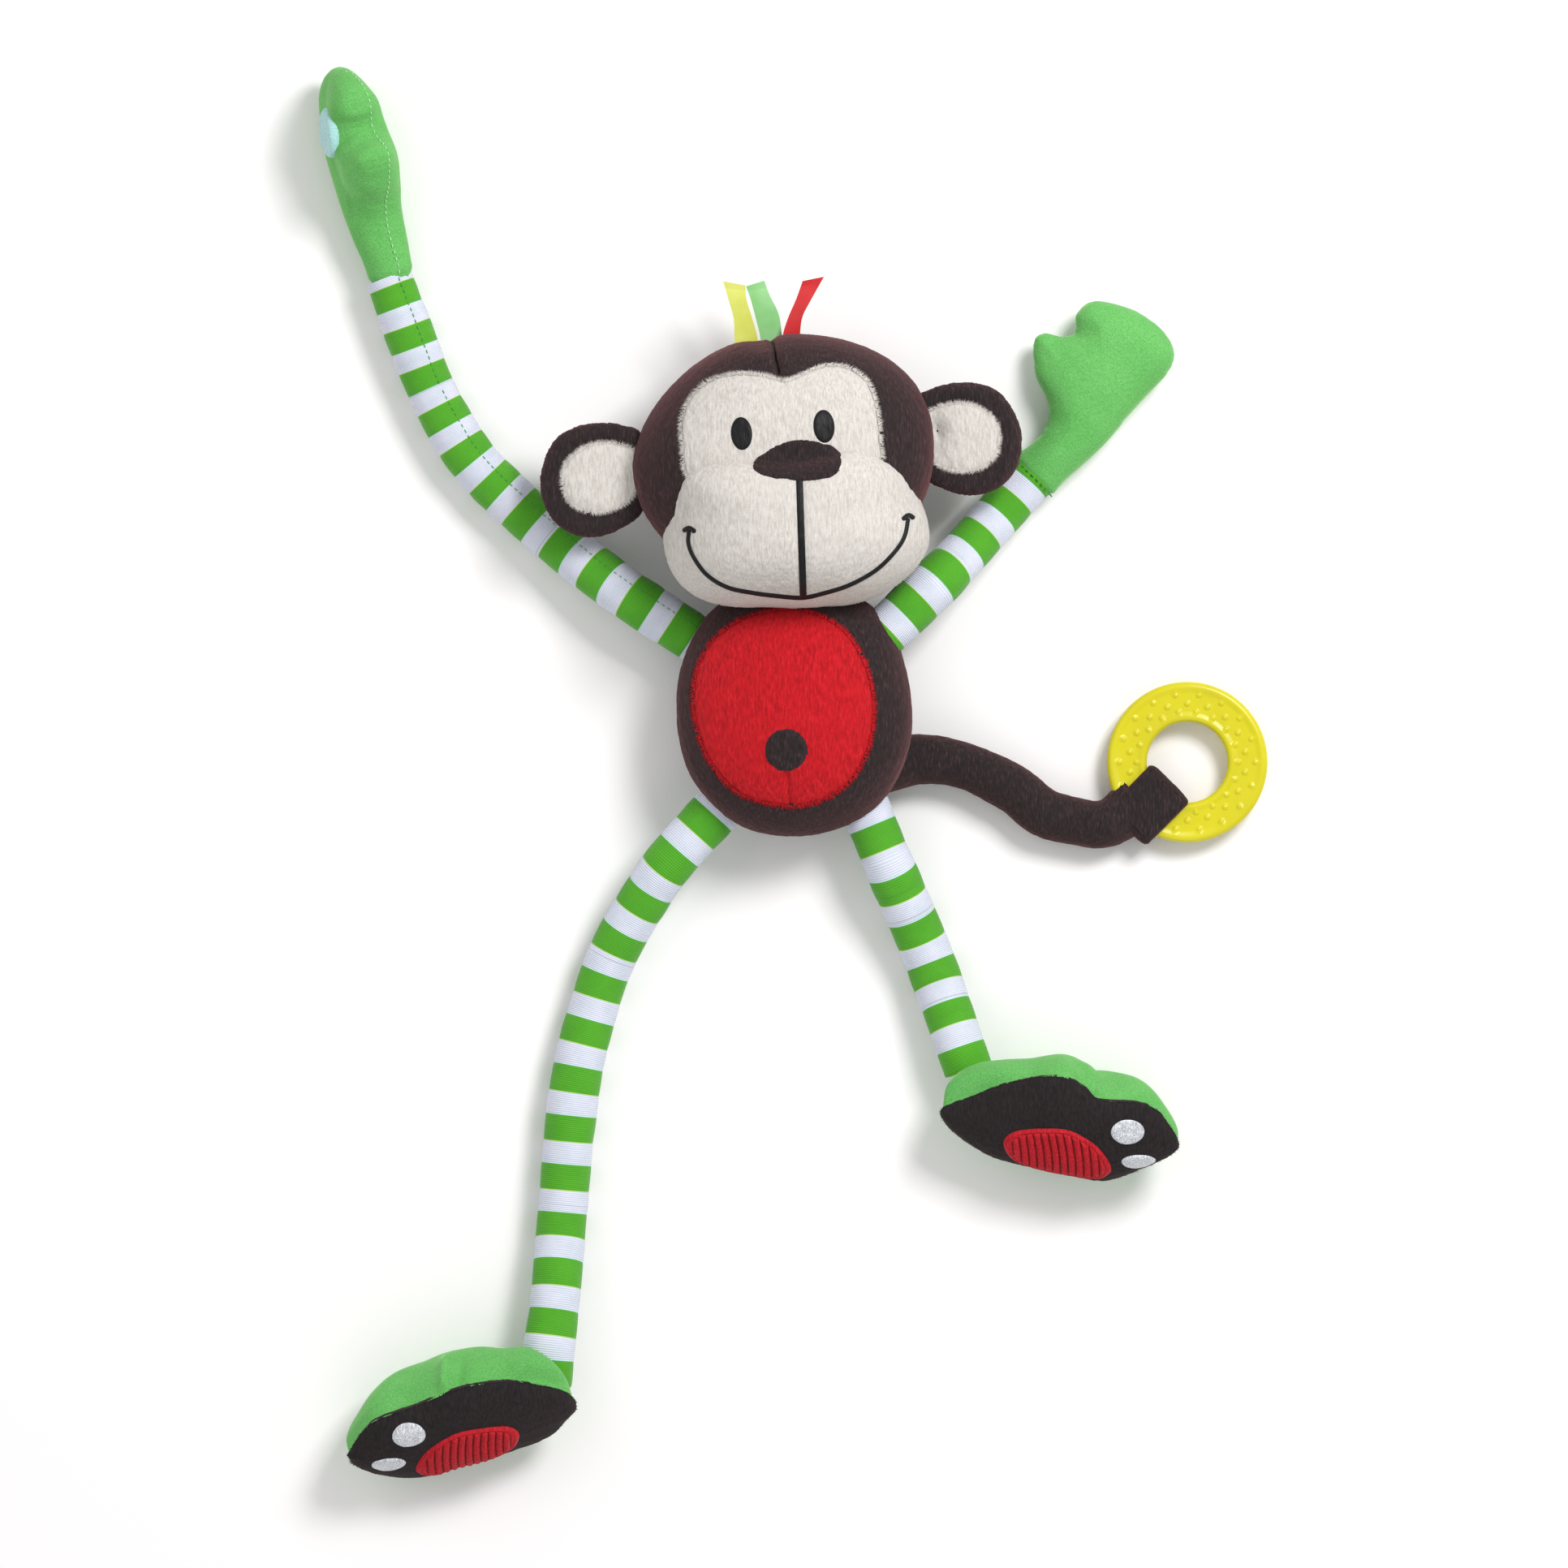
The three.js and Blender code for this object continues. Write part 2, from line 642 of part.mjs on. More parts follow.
// ---- feet: along +X from heel to toe, sole towards +Z, in their own frame ----
const RIB_PAD = [
  [-23, 4],
  [-19, -3],
  [-8, -6.5],
  [3, -7.6],
  [14, -2.5],
  [21, 5],
  [23, 12],
  [18, 16],
  [6, 16.5],
  [-7, 15.5],
  [-18, 12.5],
];
const TOE_DOTS = [
  [26, -11],
  [34, 6],
];
const STUB = { start: 3.5, end: 24, radius: 8.8 }; // the foot's neck, along the leg from its bend

// A foot lies on its side. tilt turns its sole up from that side, turn is 1 or -1 for the side, and
// limb is the leg whose last bend it hangs from.
function foot(side, { toe, centre, tilt, turn, limb }) {
  const { halfLength, halfWidth, soleRise, depth } = FOOT;
  const dome = (rise, grow) =>
    ellipsoid(halfLength + grow, halfWidth + grow, rise + grow, 0, 0, 0, COLS, 14);
  const ahead = new THREE.Vector3(Math.cos(rad(toe)), Math.sin(rad(toe)), 0);
  const outward = new THREE.Vector3(-ahead.y, ahead.x, 0).multiplyScalar(turn);
  const sole = new THREE.Vector3(0, 0, Math.cos(rad(tilt))).addScaledVector(outward, Math.sin(rad(tilt)));
  const across = sole.clone().cross(ahead);
  const frame = new THREE.Matrix4().makeBasis(ahead, across, sole).setPosition(...centre);
  const group = new THREE.Group();
  frame.decompose(group.position, group.quaternion, group.scale);

  const bend = limb.curve.points.at(-1);
  const inward = bend.clone().sub(limb.curve.getPoint(0.98)).normalize();
  const toLocal = frame.clone().invert();
  const along = (distance) => bend.clone().addScaledVector(inward, distance).applyMatrix4(toLocal);
  const stub = bar(along(STUB.start), along(STUB.end), STUB.radius, SIDES);
  const above = box(-FAR, FAR, -FAR, FAR, -GAP / 2, FAR);
  const under = box(-FAR, FAR, -FAR, FAR, -FAR, GAP / 2);
  const mirrored = (points) => {
    const placed = points.map(([x, y]) => [x, y * turn]);
    return turn > 0 ? placed : placed.reverse();
  };
  const onSole = (points, thick, count) =>
    dome(soleRise, GAP + thick).subtract(dome(soleRise, GAP)).intersect(prism(points, 1, 40, count));
  group.add(
    piece(`foot_${side}_upper`, dome(depth, 0).add(stub).subtract(above), greenVelour),
    piece(`foot_${side}_sole`, dome(soleRise, 0).subtract(under), brownPlush),
    piece(`foot_${side}_ribbed_pad`, onSole(mirrored(RIB_PAD), PATCH, 20), redRibbed),
  );
  TOE_DOTS.forEach(([x, y], i) => {
    const dot = onSole(ovalPoints(x, y * turn, 6.8, 5.8), STITCH, 12);
    group.add(piece(`foot_${side}_toe_dot_${i + 1}`, dot, silverThread));
  });
  return group;
}

// ---- tail, its loop and the teether ring ----
const TAIL = limbCurve([
  [40.5, -19.4, 13],
  [54, -18.6, 10],
  [70, -20, TAIL_R],
  [86, -28.5, TAIL_R],
  [100, -38, TAIL_R], // bend half way along
  [113, -44.3, TAIL_R],
  [125, -46, TAIL_R],
  [133.6, -46, TAIL_R], // bend before the loop
]);

// The flat loop that holds the ring: a strap wrapped round the ring's band, in its own frame with
// the ring's middle at the origin and the tail towards -X.
function tailLoop() {
  const { clear, wall, width } = LOOP;
  const nearest = Math.sqrt(RING.inner ** 2 - (width / 2) ** 2);
  const [x0, x1] = [-RING.outer - clear, -nearest + clear];
  const z = RING.halfThick + clear;
  const stops = [0, 30, 60, 90];
  const roundedBox = (grow, radius) => [
    ...cornerArc(x1 + grow - radius, z + grow - radius, radius, 0, stops),
    ...cornerArc(x0 - grow + radius, z + grow - radius, radius, 90, stops),
    ...cornerArc(x0 - grow + radius, -z - grow + radius, radius, 180, stops),
    ...cornerArc(x1 + grow - radius, -z - grow + radius, radius, 270, stops),
  ];
  const strap = column(roundedBox(wall, 4.5), width).subtract(column(roundedBox(0, 1.5), width + 2));
  return strap.rotate([90, 0, 0]);
}

function ringBody() {
  const { outer, inner, halfThick } = RING;
  const round = 2.4;
  const stops = [0, 45, 90];
  const profile = [
    ...cornerArc(outer - round, halfThick - round, round, 0, stops),
    ...cornerArc(inner + round, halfThick - round, round, 90, stops),
    ...cornerArc(inner + round, -halfThick + round, round, 180, stops),
    ...cornerArc(outer - round, -halfThick + round, round, 270, stops),
  ];
  profile.push(profile[0].clone());
  return toSolid(new THREE.LatheGeometry(profile, 36).rotateX(Math.PI / 2));
}

function tail() {
  const group = new THREE.Group();
  group.add(piece("tail_base", link(TAIL, 0, 4, TAIL_R), brownPlush));
  group.add(piece("tail_end", link(TAIL, 4, 7, TAIL_R), brownPlush));
  const ringGroup = new THREE.Group();
  ringGroup.position.set(RING.x, RING.y, RING.z);
  ringGroup.rotation.z = rad(LOOP.turn);
  ringGroup.add(piece("tail_loop", tailLoop(), brownPlush), piece("teether_ring", ringBody(), yellowPlastic));
  group.add(ringGroup);
  return group;
}

// ---- limbs ----
function sleeve(limbName, limb, spans) {
  const part = (name, solid) => piece(`${limbName}_sleeve_${name}`, solid, stripedKnit);
  const root = part("root", link(limb.root, 0, 1, SLEEVE_R));
  return [root, ...spans.map(([name, first, last]) => part(name, link(limb.curve, first, last, SLEEVE_R)))];
}

function arms() {
  const group = new THREE.Group();
  group.add(...sleeve("arm_right", ARM_RIGHT, [["upper", 0, 3], ["lower", 3, 5]]));
  group.add(...sleeve("arm_left", ARM_LEFT, [["lower", 0, 2]]));
  group.add(
    hand("right", 1.06, (mitten) => {
      mitten.position.set(-169.6, 184.7, 13.4);
      mitten.rotateZ(rad(104));
      mitten.rotateX(rad(110));
    }),
    hand("left", 1, (mitten) => {
      mitten.position.set(99.9, 100.9, PALM_Z);
      mitten.rotateZ(rad(45));
    }),
  );
  return group;
}

function legs() {
  const group = new THREE.Group();
  group.add(...sleeve("leg_right", LEG_RIGHT, [["upper", 0, 3], ["lower", 3, 6]]));
  group.add(...sleeve("leg_left", LEG_LEFT, [["upper", 0, 2], ["lower", 2, 3]]));
  const rightFoot = { toe: 193.6, centre: [-140.3, -298, 29.2], tilt: 50, turn: 1, limb: LEG_RIGHT };
  const leftFoot = { toe: -9.2, centre: [111.8, -173.3, 31.3], tilt: 37, turn: -1, limb: LEG_LEFT };
  group.add(foot("right", rightFoot), foot("left", leftFoot));
  return group;
}

const monkey = new THREE.Group();
monkey.add(torso(), neck(), head(), arms(), legs(), tail());

export default monkey;
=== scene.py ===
import json
import math

import bpy
import numpy as np
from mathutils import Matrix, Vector
from mathutils.bvhtree import BVHTree
from mathutils.geometry import delaunay_2d_cdt
from mathutils.kdtree import KDTree


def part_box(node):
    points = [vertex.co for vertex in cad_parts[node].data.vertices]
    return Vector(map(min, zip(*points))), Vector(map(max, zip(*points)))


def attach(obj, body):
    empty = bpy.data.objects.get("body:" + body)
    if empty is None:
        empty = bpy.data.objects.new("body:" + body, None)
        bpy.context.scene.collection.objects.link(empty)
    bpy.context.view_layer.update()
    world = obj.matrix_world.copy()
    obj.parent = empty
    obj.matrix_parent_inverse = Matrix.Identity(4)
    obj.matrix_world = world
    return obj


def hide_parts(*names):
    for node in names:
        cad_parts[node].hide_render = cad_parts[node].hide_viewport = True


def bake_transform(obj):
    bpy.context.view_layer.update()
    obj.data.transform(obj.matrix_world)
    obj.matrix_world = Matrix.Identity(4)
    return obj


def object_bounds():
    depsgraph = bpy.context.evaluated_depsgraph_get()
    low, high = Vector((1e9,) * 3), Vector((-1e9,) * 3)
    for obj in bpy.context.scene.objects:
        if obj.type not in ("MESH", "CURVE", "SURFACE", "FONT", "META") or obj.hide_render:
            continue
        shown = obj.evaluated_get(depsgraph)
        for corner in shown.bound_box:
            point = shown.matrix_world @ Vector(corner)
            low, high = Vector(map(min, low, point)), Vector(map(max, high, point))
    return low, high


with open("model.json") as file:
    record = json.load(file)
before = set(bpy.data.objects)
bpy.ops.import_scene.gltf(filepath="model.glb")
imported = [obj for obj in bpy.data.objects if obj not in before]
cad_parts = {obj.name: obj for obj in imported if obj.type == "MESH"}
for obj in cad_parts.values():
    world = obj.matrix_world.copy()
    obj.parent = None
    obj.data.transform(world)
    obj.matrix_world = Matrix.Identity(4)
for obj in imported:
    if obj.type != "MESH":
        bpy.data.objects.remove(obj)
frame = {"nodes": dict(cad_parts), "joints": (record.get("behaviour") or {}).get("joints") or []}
cad_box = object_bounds()

MM = 0.001
UP = np.array([0.0, 0.0, 1.0])
joints = {joint["name"]: joint for joint in frame["joints"]}


def pivot(name):
    """A hinge's place in the row frame, in mm."""
    return np.array(joints[name]["pos_m"], float) / MM


def axis(name):
    return np.array(joints[name]["axis"], float)


def node_box(name):
    low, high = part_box(name)
    return np.array(low) / MM, np.array(high) / MM


def node_points(name):
    """A CAD node's vertices and edges, in mm."""
    mesh = frame["nodes"][name].data
    points = np.array([v.co for v in mesh.vertices], float).reshape(-1, 3) / MM
    edges = np.array([e.vertices[:] for e in mesh.edges], int)
    return points, edges


# ---------------------------------------------------------------- small maths


def unit(v):
    v = np.asarray(v, float)
    return v / np.linalg.norm(v)


def smoothstep(x, low, high):
    t = np.clip((x - low) / (high - low), 0, 1)
    return t * t * (3 - 2 * t)


def fluff(points, size, seed):
    """Smooth pseudo-random value from about -1 to 1 at each point, with features of the given size."""
    random = np.random.default_rng(seed)
    total = np.zeros(len(points))
    waves = 14
    for _ in range(waves):
        direction = unit(random.normal(size=3))
        wavelength = size * random.uniform(1.2, 3.2)
        total += np.sin(points @ direction * (2 * math.pi / wavelength) + random.uniform(0, 2 * math.pi))
    return total / math.sqrt(waves)


def spline(controls, closed=False, step=0.5):
    """A smooth curve through the control points, as points about one step apart."""
    p = np.asarray(controls, float)
    n = len(p)
    spans = n if closed else n - 1
    out = []
    for i in range(spans):
        if closed:
            a, b, c, d = (p[(i + k - 1) % n] for k in range(4))
        else:
            b, c = p[i], p[i + 1]
            a = p[i - 1] if i else 2 * b - c
            d = p[i + 2] if i + 2 < n else 2 * c - b
        t = np.linspace(0, 1, 24, endpoint=False)[:, None]
        out.append(0.5 * (2 * b + (c - a) * t + (2 * a - 5 * b + 4 * c - d) * t**2 + (3 * b - 3 * c + d - a) * t**3))
    line = np.concatenate(out + ([p[:1]] if closed else [p[-1:]]))
    length = np.concatenate([[0], np.cumsum(np.linalg.norm(np.diff(line, axis=0), axis=1))])
    count = max(8, int(round(length[-1] / step)))
    at = np.linspace(0, length[-1], count + 1)
    even = np.stack([np.interp(at, length, line[:, k]) for k in range(line.shape[1])], axis=1)
    return even[:-1] if closed else even


class Star:
    """A closed outline seen from its centre, as a distance for each direction."""

    def __init__(self, outline, centre, step=0.4):
        self.centre = np.asarray(centre, float)
        line = spline(outline, closed=True, step=step) - self.centre
        angle = np.arctan2(line[:, 1], line[:, 0])
        order = np.argsort(angle)
        self.angle = np.concatenate([angle[order] - 2 * math.pi, angle[order], angle[order] + 2 * math.pi])
        self.reach = np.tile(np.hypot(line[:, 0], line[:, 1])[order], 3)

    def radius(self, angle):
        return np.interp(angle, self.angle, self.reach)

    def share(self, x, y):
        """0 at the centre, 1 on the outline."""
        dx, dy = x - self.centre[0], y - self.centre[1]
        return np.hypot(dx, dy) / self.radius(np.arctan2(dy, dx))


# ---------------------------------------------------------------- mesh building


GROUND = 0.1  # mm, where the toy's cloth rests


def make_object(name, points_mm, faces, material, smooth=True, attributes=None):
    mesh = bpy.data.meshes.new(name)
    points = np.array(points_mm, float)
    points[:, 2] = np.maximum(points[:, 2], GROUND)
    mesh.from_pydata((points * MM).tolist(), [], faces)
    for key, values in (attributes or {}).items():
        layer = mesh.attributes.new(key, "FLOAT", "POINT")
        layer.data.foreach_set("value", np.asarray(values, np.float32))
    mesh.materials.append(material)
    mesh.update()
    if smooth:
        mesh.shade_smooth()
    piece = bpy.data.objects.new(name, mesh)
    bpy.context.scene.collection.objects.link(piece)
    return piece


def grid_faces(rows, cols):
    """Quads between closed rings of points, with each ring wrapping round."""
    faces = []
    for r in range(rows - 1):
        for c in range(cols):
            d = (c + 1) % cols
            faces.append((r * cols + c, r * cols + d, (r + 1) * cols + d, (r + 1) * cols + c))
    return faces


def rings_to_mesh(rings):
    """Rings of points (rows, cols, 3) closed at both ends with a fan: points and faces."""
    rows, cols, _ = rings.shape
    points = np.concatenate([rings.reshape(-1, 3), rings[0].mean(0)[None], rings[-1].mean(0)[None]])
    faces = grid_faces(rows, cols)
    first, last = rows * cols, rows * cols + 1
    faces += [(first, (c + 1) % cols, c) for c in range(cols)]
    faces += [(last, (rows - 1) * cols + c, (rows - 1) * cols + (c + 1) % cols) for c in range(cols)]
    return points, faces


def normals_of(points, faces):
    mesh = bpy.data.meshes.new("scratch")
    mesh.from_pydata(points.tolist(), [], faces)
    mesh.update()
    normals = np.zeros(len(points) * 3, np.float32)
    mesh.vertices.foreach_get("normal", normals)
    bpy.data.meshes.remove(mesh)
    return normals.reshape(-1, 3).astype(float)


def nap(points, faces, depth, seed, grain=1.0, lie=(0.2, -1.0, 0.1), stretch=2.2):
    """Raises and sinks a skin in short streaks that lie along one direction, like brushed pile."""
    lie = unit(lie)
    along = points @ lie
    squeezed = points - np.outer(along * (1 - 1 / stretch), lie)
    amount = 0.55 * fluff(squeezed, grain, seed) + 0.45 * fluff(squeezed, grain * 2.7, seed + 1)
    return points + normals_of(points, faces) * (amount * depth)[:, None]


class Skin:
    """A finished surface, sounded from the front for its height and facing."""

    def __init__(self, points, faces):
        self.tree = BVHTree.FromPolygons(np.asarray(points).tolist(), faces)

    def sound(self, x, y):
        """Surface places and facings behind each (x, y), in arrays shaped like x with 3 more."""
        x, y = np.broadcast_arrays(x, y)
        spots, facings = [], []
        for a, b in zip(x.ravel().tolist(), y.ravel().tolist()):
            spot, facing, *_ = self.tree.ray_cast((a, b, 200.0), (0, 0, -1))
            if spot is None:
                spot, facing, *_ = self.tree.find_nearest((a, b, 25.0))
            spots.append(spot)
            facings.append(facing if facing[2] > 0 else -facing)
        return np.array(spots).reshape(x.shape + (3,)), np.array(facings).reshape(x.shape + (3,))

    def height(self, x, y):
        return self.sound(x, y)[0][..., 2]


def frames_along(path, up=UP):
    """Forward, side and over directions at each point of a path."""
    ahead = np.gradient(path, axis=0)
    ahead /= np.linalg.norm(ahead, axis=1)[:, None]
    side = np.cross(ahead, up)
    side /= np.linalg.norm(side, axis=1)[:, None]
    return ahead, side, np.cross(side, ahead)


def tube(path, radius, cols, squash=1.0):
    """Rings round a path. radius is one number, or one for each point."""
    _, side, over = frames_along(path)
    angle = np.linspace(0, 2 * math.pi, cols, endpoint=False)
    r = np.broadcast_to(radius, len(path))[:, None, None]
    ring = np.cos(angle)[None, :, None] * side[:, None, :] + squash * np.sin(angle)[None, :, None] * over[:, None, :]
    return path[:, None, :] + r * ring


def place(points, origin, x_axis, y_axis, z_axis):
    return np.asarray(origin) + points @ np.array([x_axis, y_axis, z_axis])


# ---------------------------------------------------------------- materials


def rgb(code):
    srgb = [int(code[i : i + 2], 16) / 255 for i in (0, 2, 4)]
    return [(c / 12.92 if c <= 0.04045 else ((c + 0.055) / 1.055) ** 2.4) for c in srgb] + [1.0]


class Shader:
    """A node material, with short calls for the nodes used here."""

    def __init__(self, name, roughness=0.9):
        self.material = bpy.data.materials.new(name)
        self.material.use_nodes = True
        self.tree = self.material.node_tree
        self.surface = self.tree.nodes["Principled BSDF"]
        self.surface.inputs["Roughness"].default_value = roughness
        self.surface.inputs["Specular IOR Level"].default_value = 0.25
        self.place = self.node("ShaderNodeTexCoord").outputs["Object"]

    def node(self, kind, **settings):
        made = self.tree.nodes.new(kind)
        for key, value in settings.items():
            setattr(made, key, value)
        return made

    def feed(self, socket, value):
        if isinstance(value, bpy.types.NodeSocket):
            self.tree.links.new(value, socket)
        else:
            socket.default_value = value

    def attribute(self, name):
        return self.node("ShaderNodeAttribute", attribute_name=name).outputs["Fac"]

    def math(self, operation, a, b=0.0, c=0.0):
        made = self.node("ShaderNodeMath", operation=operation)
        for socket, value in zip(made.inputs, (a, b, c)):
            self.feed(socket, value)
        return made.outputs[0]

    def noise(self, per_metre, detail=2.0, stretch=(1, 1, 1), turn=(0, 0, 0), vector=None):
        mapping = self.node("ShaderNodeMapping")
        self.feed(mapping.inputs["Vector"], vector or self.place)
        mapping.inputs["Scale"].default_value = stretch
        mapping.inputs["Rotation"].default_value = turn
        made = self.node("ShaderNodeTexNoise")
        self.feed(made.inputs["Vector"], mapping.outputs[0])
        made.inputs["Scale"].default_value = per_metre
        made.inputs["Detail"].default_value = detail
        return made.outputs[0]

    def mix(self, share, a, b, kind="MIX"):
        made = self.node("ShaderNodeMix", data_type="RGBA", blend_type=kind)
        for name, value in (("Factor_Float", share), ("A_Color", a), ("B_Color", b)):
            socket = next(s for s in made.inputs if s.identifier == name)
            self.feed(socket, value)
        return next(s for s in made.outputs if s.identifier == "Result_Color")

    def ramp(self, value, stops, mode="LINEAR"):
        made = self.node("ShaderNodeValToRGB")
        made.color_ramp.interpolation = mode
        points = made.color_ramp.elements
        while len(points) < len(stops):
            points.new(0.5)
        for point, (at, colour) in zip(points, stops):
            point.position = at
            point.color = colour
        self.feed(made.inputs[0], value)
        return made.outputs[0]

    def bump(self, height, distance_mm, strength=1.0, under=None):
        made = self.node("ShaderNodeBump")
        made.inputs["Strength"].default_value = strength
        made.inputs["Distance"].default_value = distance_mm * MM
        self.feed(made.inputs["Height"], height)
        if under is not None:
            self.feed(made.inputs["Normal"], under)
        self.feed(self.surface.inputs["Normal"], made.outputs[0])
        return made.outputs[0]

    def sheen(self, weight, roughness, tint):
        self.surface.inputs["Sheen Weight"].default_value = weight
        self.surface.inputs["Sheen Roughness"].default_value = roughness
        self.surface.inputs["Sheen Tint"].default_value = tint

    def colour(self, value):
        self.feed(self.surface.inputs["Base Color"], value)


def pile_material(name, deep, body, tip, sheen_tint, streak=(5.0, 1.0, 3.0), sheen=0.2):
    """Brushed pile: streaks of light tips over dark roots, soft cloudy shading and a fine grain."""
    s = Shader(name, 0.95)
    turn = (0, 0, 0.2)
    cloud = s.noise(45, 3)
    streaks = s.noise(260, 4, stretch=streak, turn=turn)
    grain = s.noise(1500, 2, stretch=streak, turn=turn)
    roots = s.ramp(streaks, [(0.32, rgb(deep)), (0.56, rgb(body)), (0.8, rgb(tip))])
    cloudy = s.mix(s.ramp(cloud, [(0.35, (0.0, 0.0, 0.0, 1)), (0.7, (0.35, 0.35, 0.35, 1))]), roots, rgb(body))
    fine = s.ramp(grain, [(0.3, (0.8, 0.8, 0.8, 1)), (0.62, (1.05, 1.05, 1.05, 1))])
    s.colour(s.mix(1.0, cloudy, fine, "MULTIPLY"))
    first = s.bump(streaks, 0.35, 0.5)
    s.bump(grain, 0.15, 0.6, under=first)
    s.sheen(sheen, 0.5, rgb(sheen_tint))
    return s.material


def velour_material():
    """Short clipped pile with a tight speckle and a bright edge where it turns away."""
    s = Shader("green_velour", 0.9)
    speckle = s.noise(1400, 3)
    cloud = s.noise(60, 3)
    body = s.ramp(speckle, [(0.3, rgb("57a852")), (0.5, rgb("66b45d")), (0.72, rgb("76c06c"))])
    shade = s.ramp(cloud, [(0.35, (0.88, 0.92, 0.88, 1)), (0.65, (1.03, 1.0, 1.03, 1))])
    s.colour(s.mix(1.0, body, shade, "MULTIPLY"))
    first = s.bump(speckle, 0.18, 0.6)
    s.bump(s.noise(2600, 1), 0.1, 0.5, under=first)
    s.sheen(0.5, 0.35, rgb("c4eeb0"))
    return s.material


WHITE_SHARE = 0.46  # of one white and green pair
RIBS = 24  # in one pair
RIB = 20.6 / RIBS  # mm


def knit_material():
    """Striped rib knit. pairs counts white and green pairs from the cuff, around is an angle."""
    s = Shader("striped_knit", 0.85)
    pairs = s.attribute("pairs")
    around = s.attribute("around")
    pair = s.math("FRACT", pairs)
    edge = WHITE_SHARE
    white, green, lime, ice = rgb("e4e8f6"), rgb("58b02a"), rgb("b4da3c"), rgb("c9eeee")
    stripes = s.ramp(
        pair,
        [
            (0.0, ice), (0.014, white), (edge - 0.014, white), (edge - 0.003, lime), (edge + 0.012, green),
            (0.986, green), (0.995, ice),
        ],
    )
    rib = s.math("SINE", s.math("MULTIPLY", pairs, 2 * math.pi * RIBS))
    wale = s.math("SINE", s.math("MULTIPLY", around, 96.0))
    rib_share = s.math("MULTIPLY_ADD", rib, 0.5, 0.5)
    weave = s.math("MULTIPLY_ADD", s.math("MULTIPLY", rib, wale), 0.5, 0.5)
    # Painted shade in the grooves between the ribs.
    shade = s.ramp(rib_share, [(0.0, (0.8, 0.82, 0.84, 1)), (0.45, (1, 1, 1, 1))])
    thread = s.ramp(weave, [(0.1, (0.9, 0.9, 0.92, 1)), (0.7, (1.02, 1.02, 1.02, 1))])
    uneven = s.ramp(s.noise(120, 3), [(0.35, (0.9, 0.93, 0.92, 1)), (0.65, (1.02, 1.0, 1.0, 1))])
    toned = s.mix(1.0, s.mix(1.0, stripes, shade, "MULTIPLY"), thread, "MULTIPLY")
    s.colour(s.mix(1.0, toned, uneven, "MULTIPLY"))
    first = s.bump(rib, 0.1, 0.8)
    s.bump(weave, 0.06, 0.7, under=first)
    s.sheen(0.25, 0.4, (1, 1, 1, 1))
    return s.material


def thread_material(
    name, dark, light, per_metre=2600, stretch=(1, 0.12, 1), roughness=0.5, shine=0.5, sheen=0.3, ridged=False
):
    """Satin stitch: fine parallel threads. A ridged one gets painted shade in its grooves, where the attribute ridge is
    low.
    """
    s = Shader(name, roughness)
    threads = s.noise(per_metre, 2, stretch=stretch)
    colour = s.ramp(threads, [(0.35, rgb(dark)), (0.65, rgb(light))])
    if ridged:
        shade = s.ramp(s.attribute("ridge"), [(0.1, (0.3, 0.3, 0.3, 1)), (0.6, (1, 1, 1, 1))])
        colour = s.mix(1.0, colour, shade, "MULTIPLY")
    s.colour(colour)
    s.bump(threads, 0.2, 0.8)
    s.sheen(sheen, 0.3, (1, 1, 1, 1))
    s.surface.inputs["Specular IOR Level"].default_value = shine
    return s.material


def ribbon_material(name, body, light):
    s = Shader(name, 0.42)
    weft = s.noise(3000, 1, stretch=(0.1, 1, 1))
    cloud = s.noise(90, 2)
    s.colour(s.mix(s.ramp(cloud, [(0.3, (0, 0, 0, 1)), (0.7, (1, 1, 1, 1))]), rgb(body), rgb(light)))
    s.bump(weft, 0.05, 0.6)
    s.sheen(0.2, 0.3, (1, 1, 1, 1))
    s.surface.inputs["Specular IOR Level"].default_value = 0.5
    return s.material


def plastic_material(name, body, shade, roughness=0.33, subsurface=0.15):
    s = Shader(name, roughness)
    cloud = s.noise(30, 3)
    s.colour(s.ramp(cloud, [(0.3, rgb(shade)), (0.6, rgb(body))]))
    s.feed(s.surface.inputs["Roughness"], s.math("MULTIPLY_ADD", s.noise(300, 3), 0.16, roughness - 0.08))
    s.bump(s.noise(500, 2), 0.03, 0.4)
    s.surface.inputs["Subsurface Weight"].default_value = subsurface
    s.surface.inputs["Subsurface Radius"].default_value = (0.004, 0.004, 0.001)
    s.surface.inputs["Specular IOR Level"].default_value = 0.5
    return s.material


def fibre_material():
    s = Shader("fibre_fill", 0.95)
    wisps = s.noise(400, 5, stretch=(1, 3, 1))
    s.colour(s.ramp(wisps, [(0.3, rgb("d8d8d2")), (0.7, rgb("fbfbf8"))]))
    s.bump(wisps, 0.8, 0.8)
    return s.material


def loop_pile_material():
    s = Shader("blue_loop_pile", 0.95)
    loops = s.noise(1700, 3)
    s.colour(s.ramp(loops, [(0.3, rgb("8fc6c6")), (0.65, rgb("b9dfdf"))]))
    s.bump(loops, 0.4, 0.9)
    s.sheen(0.4, 0.4, (1, 1, 1, 1))
    return s.material


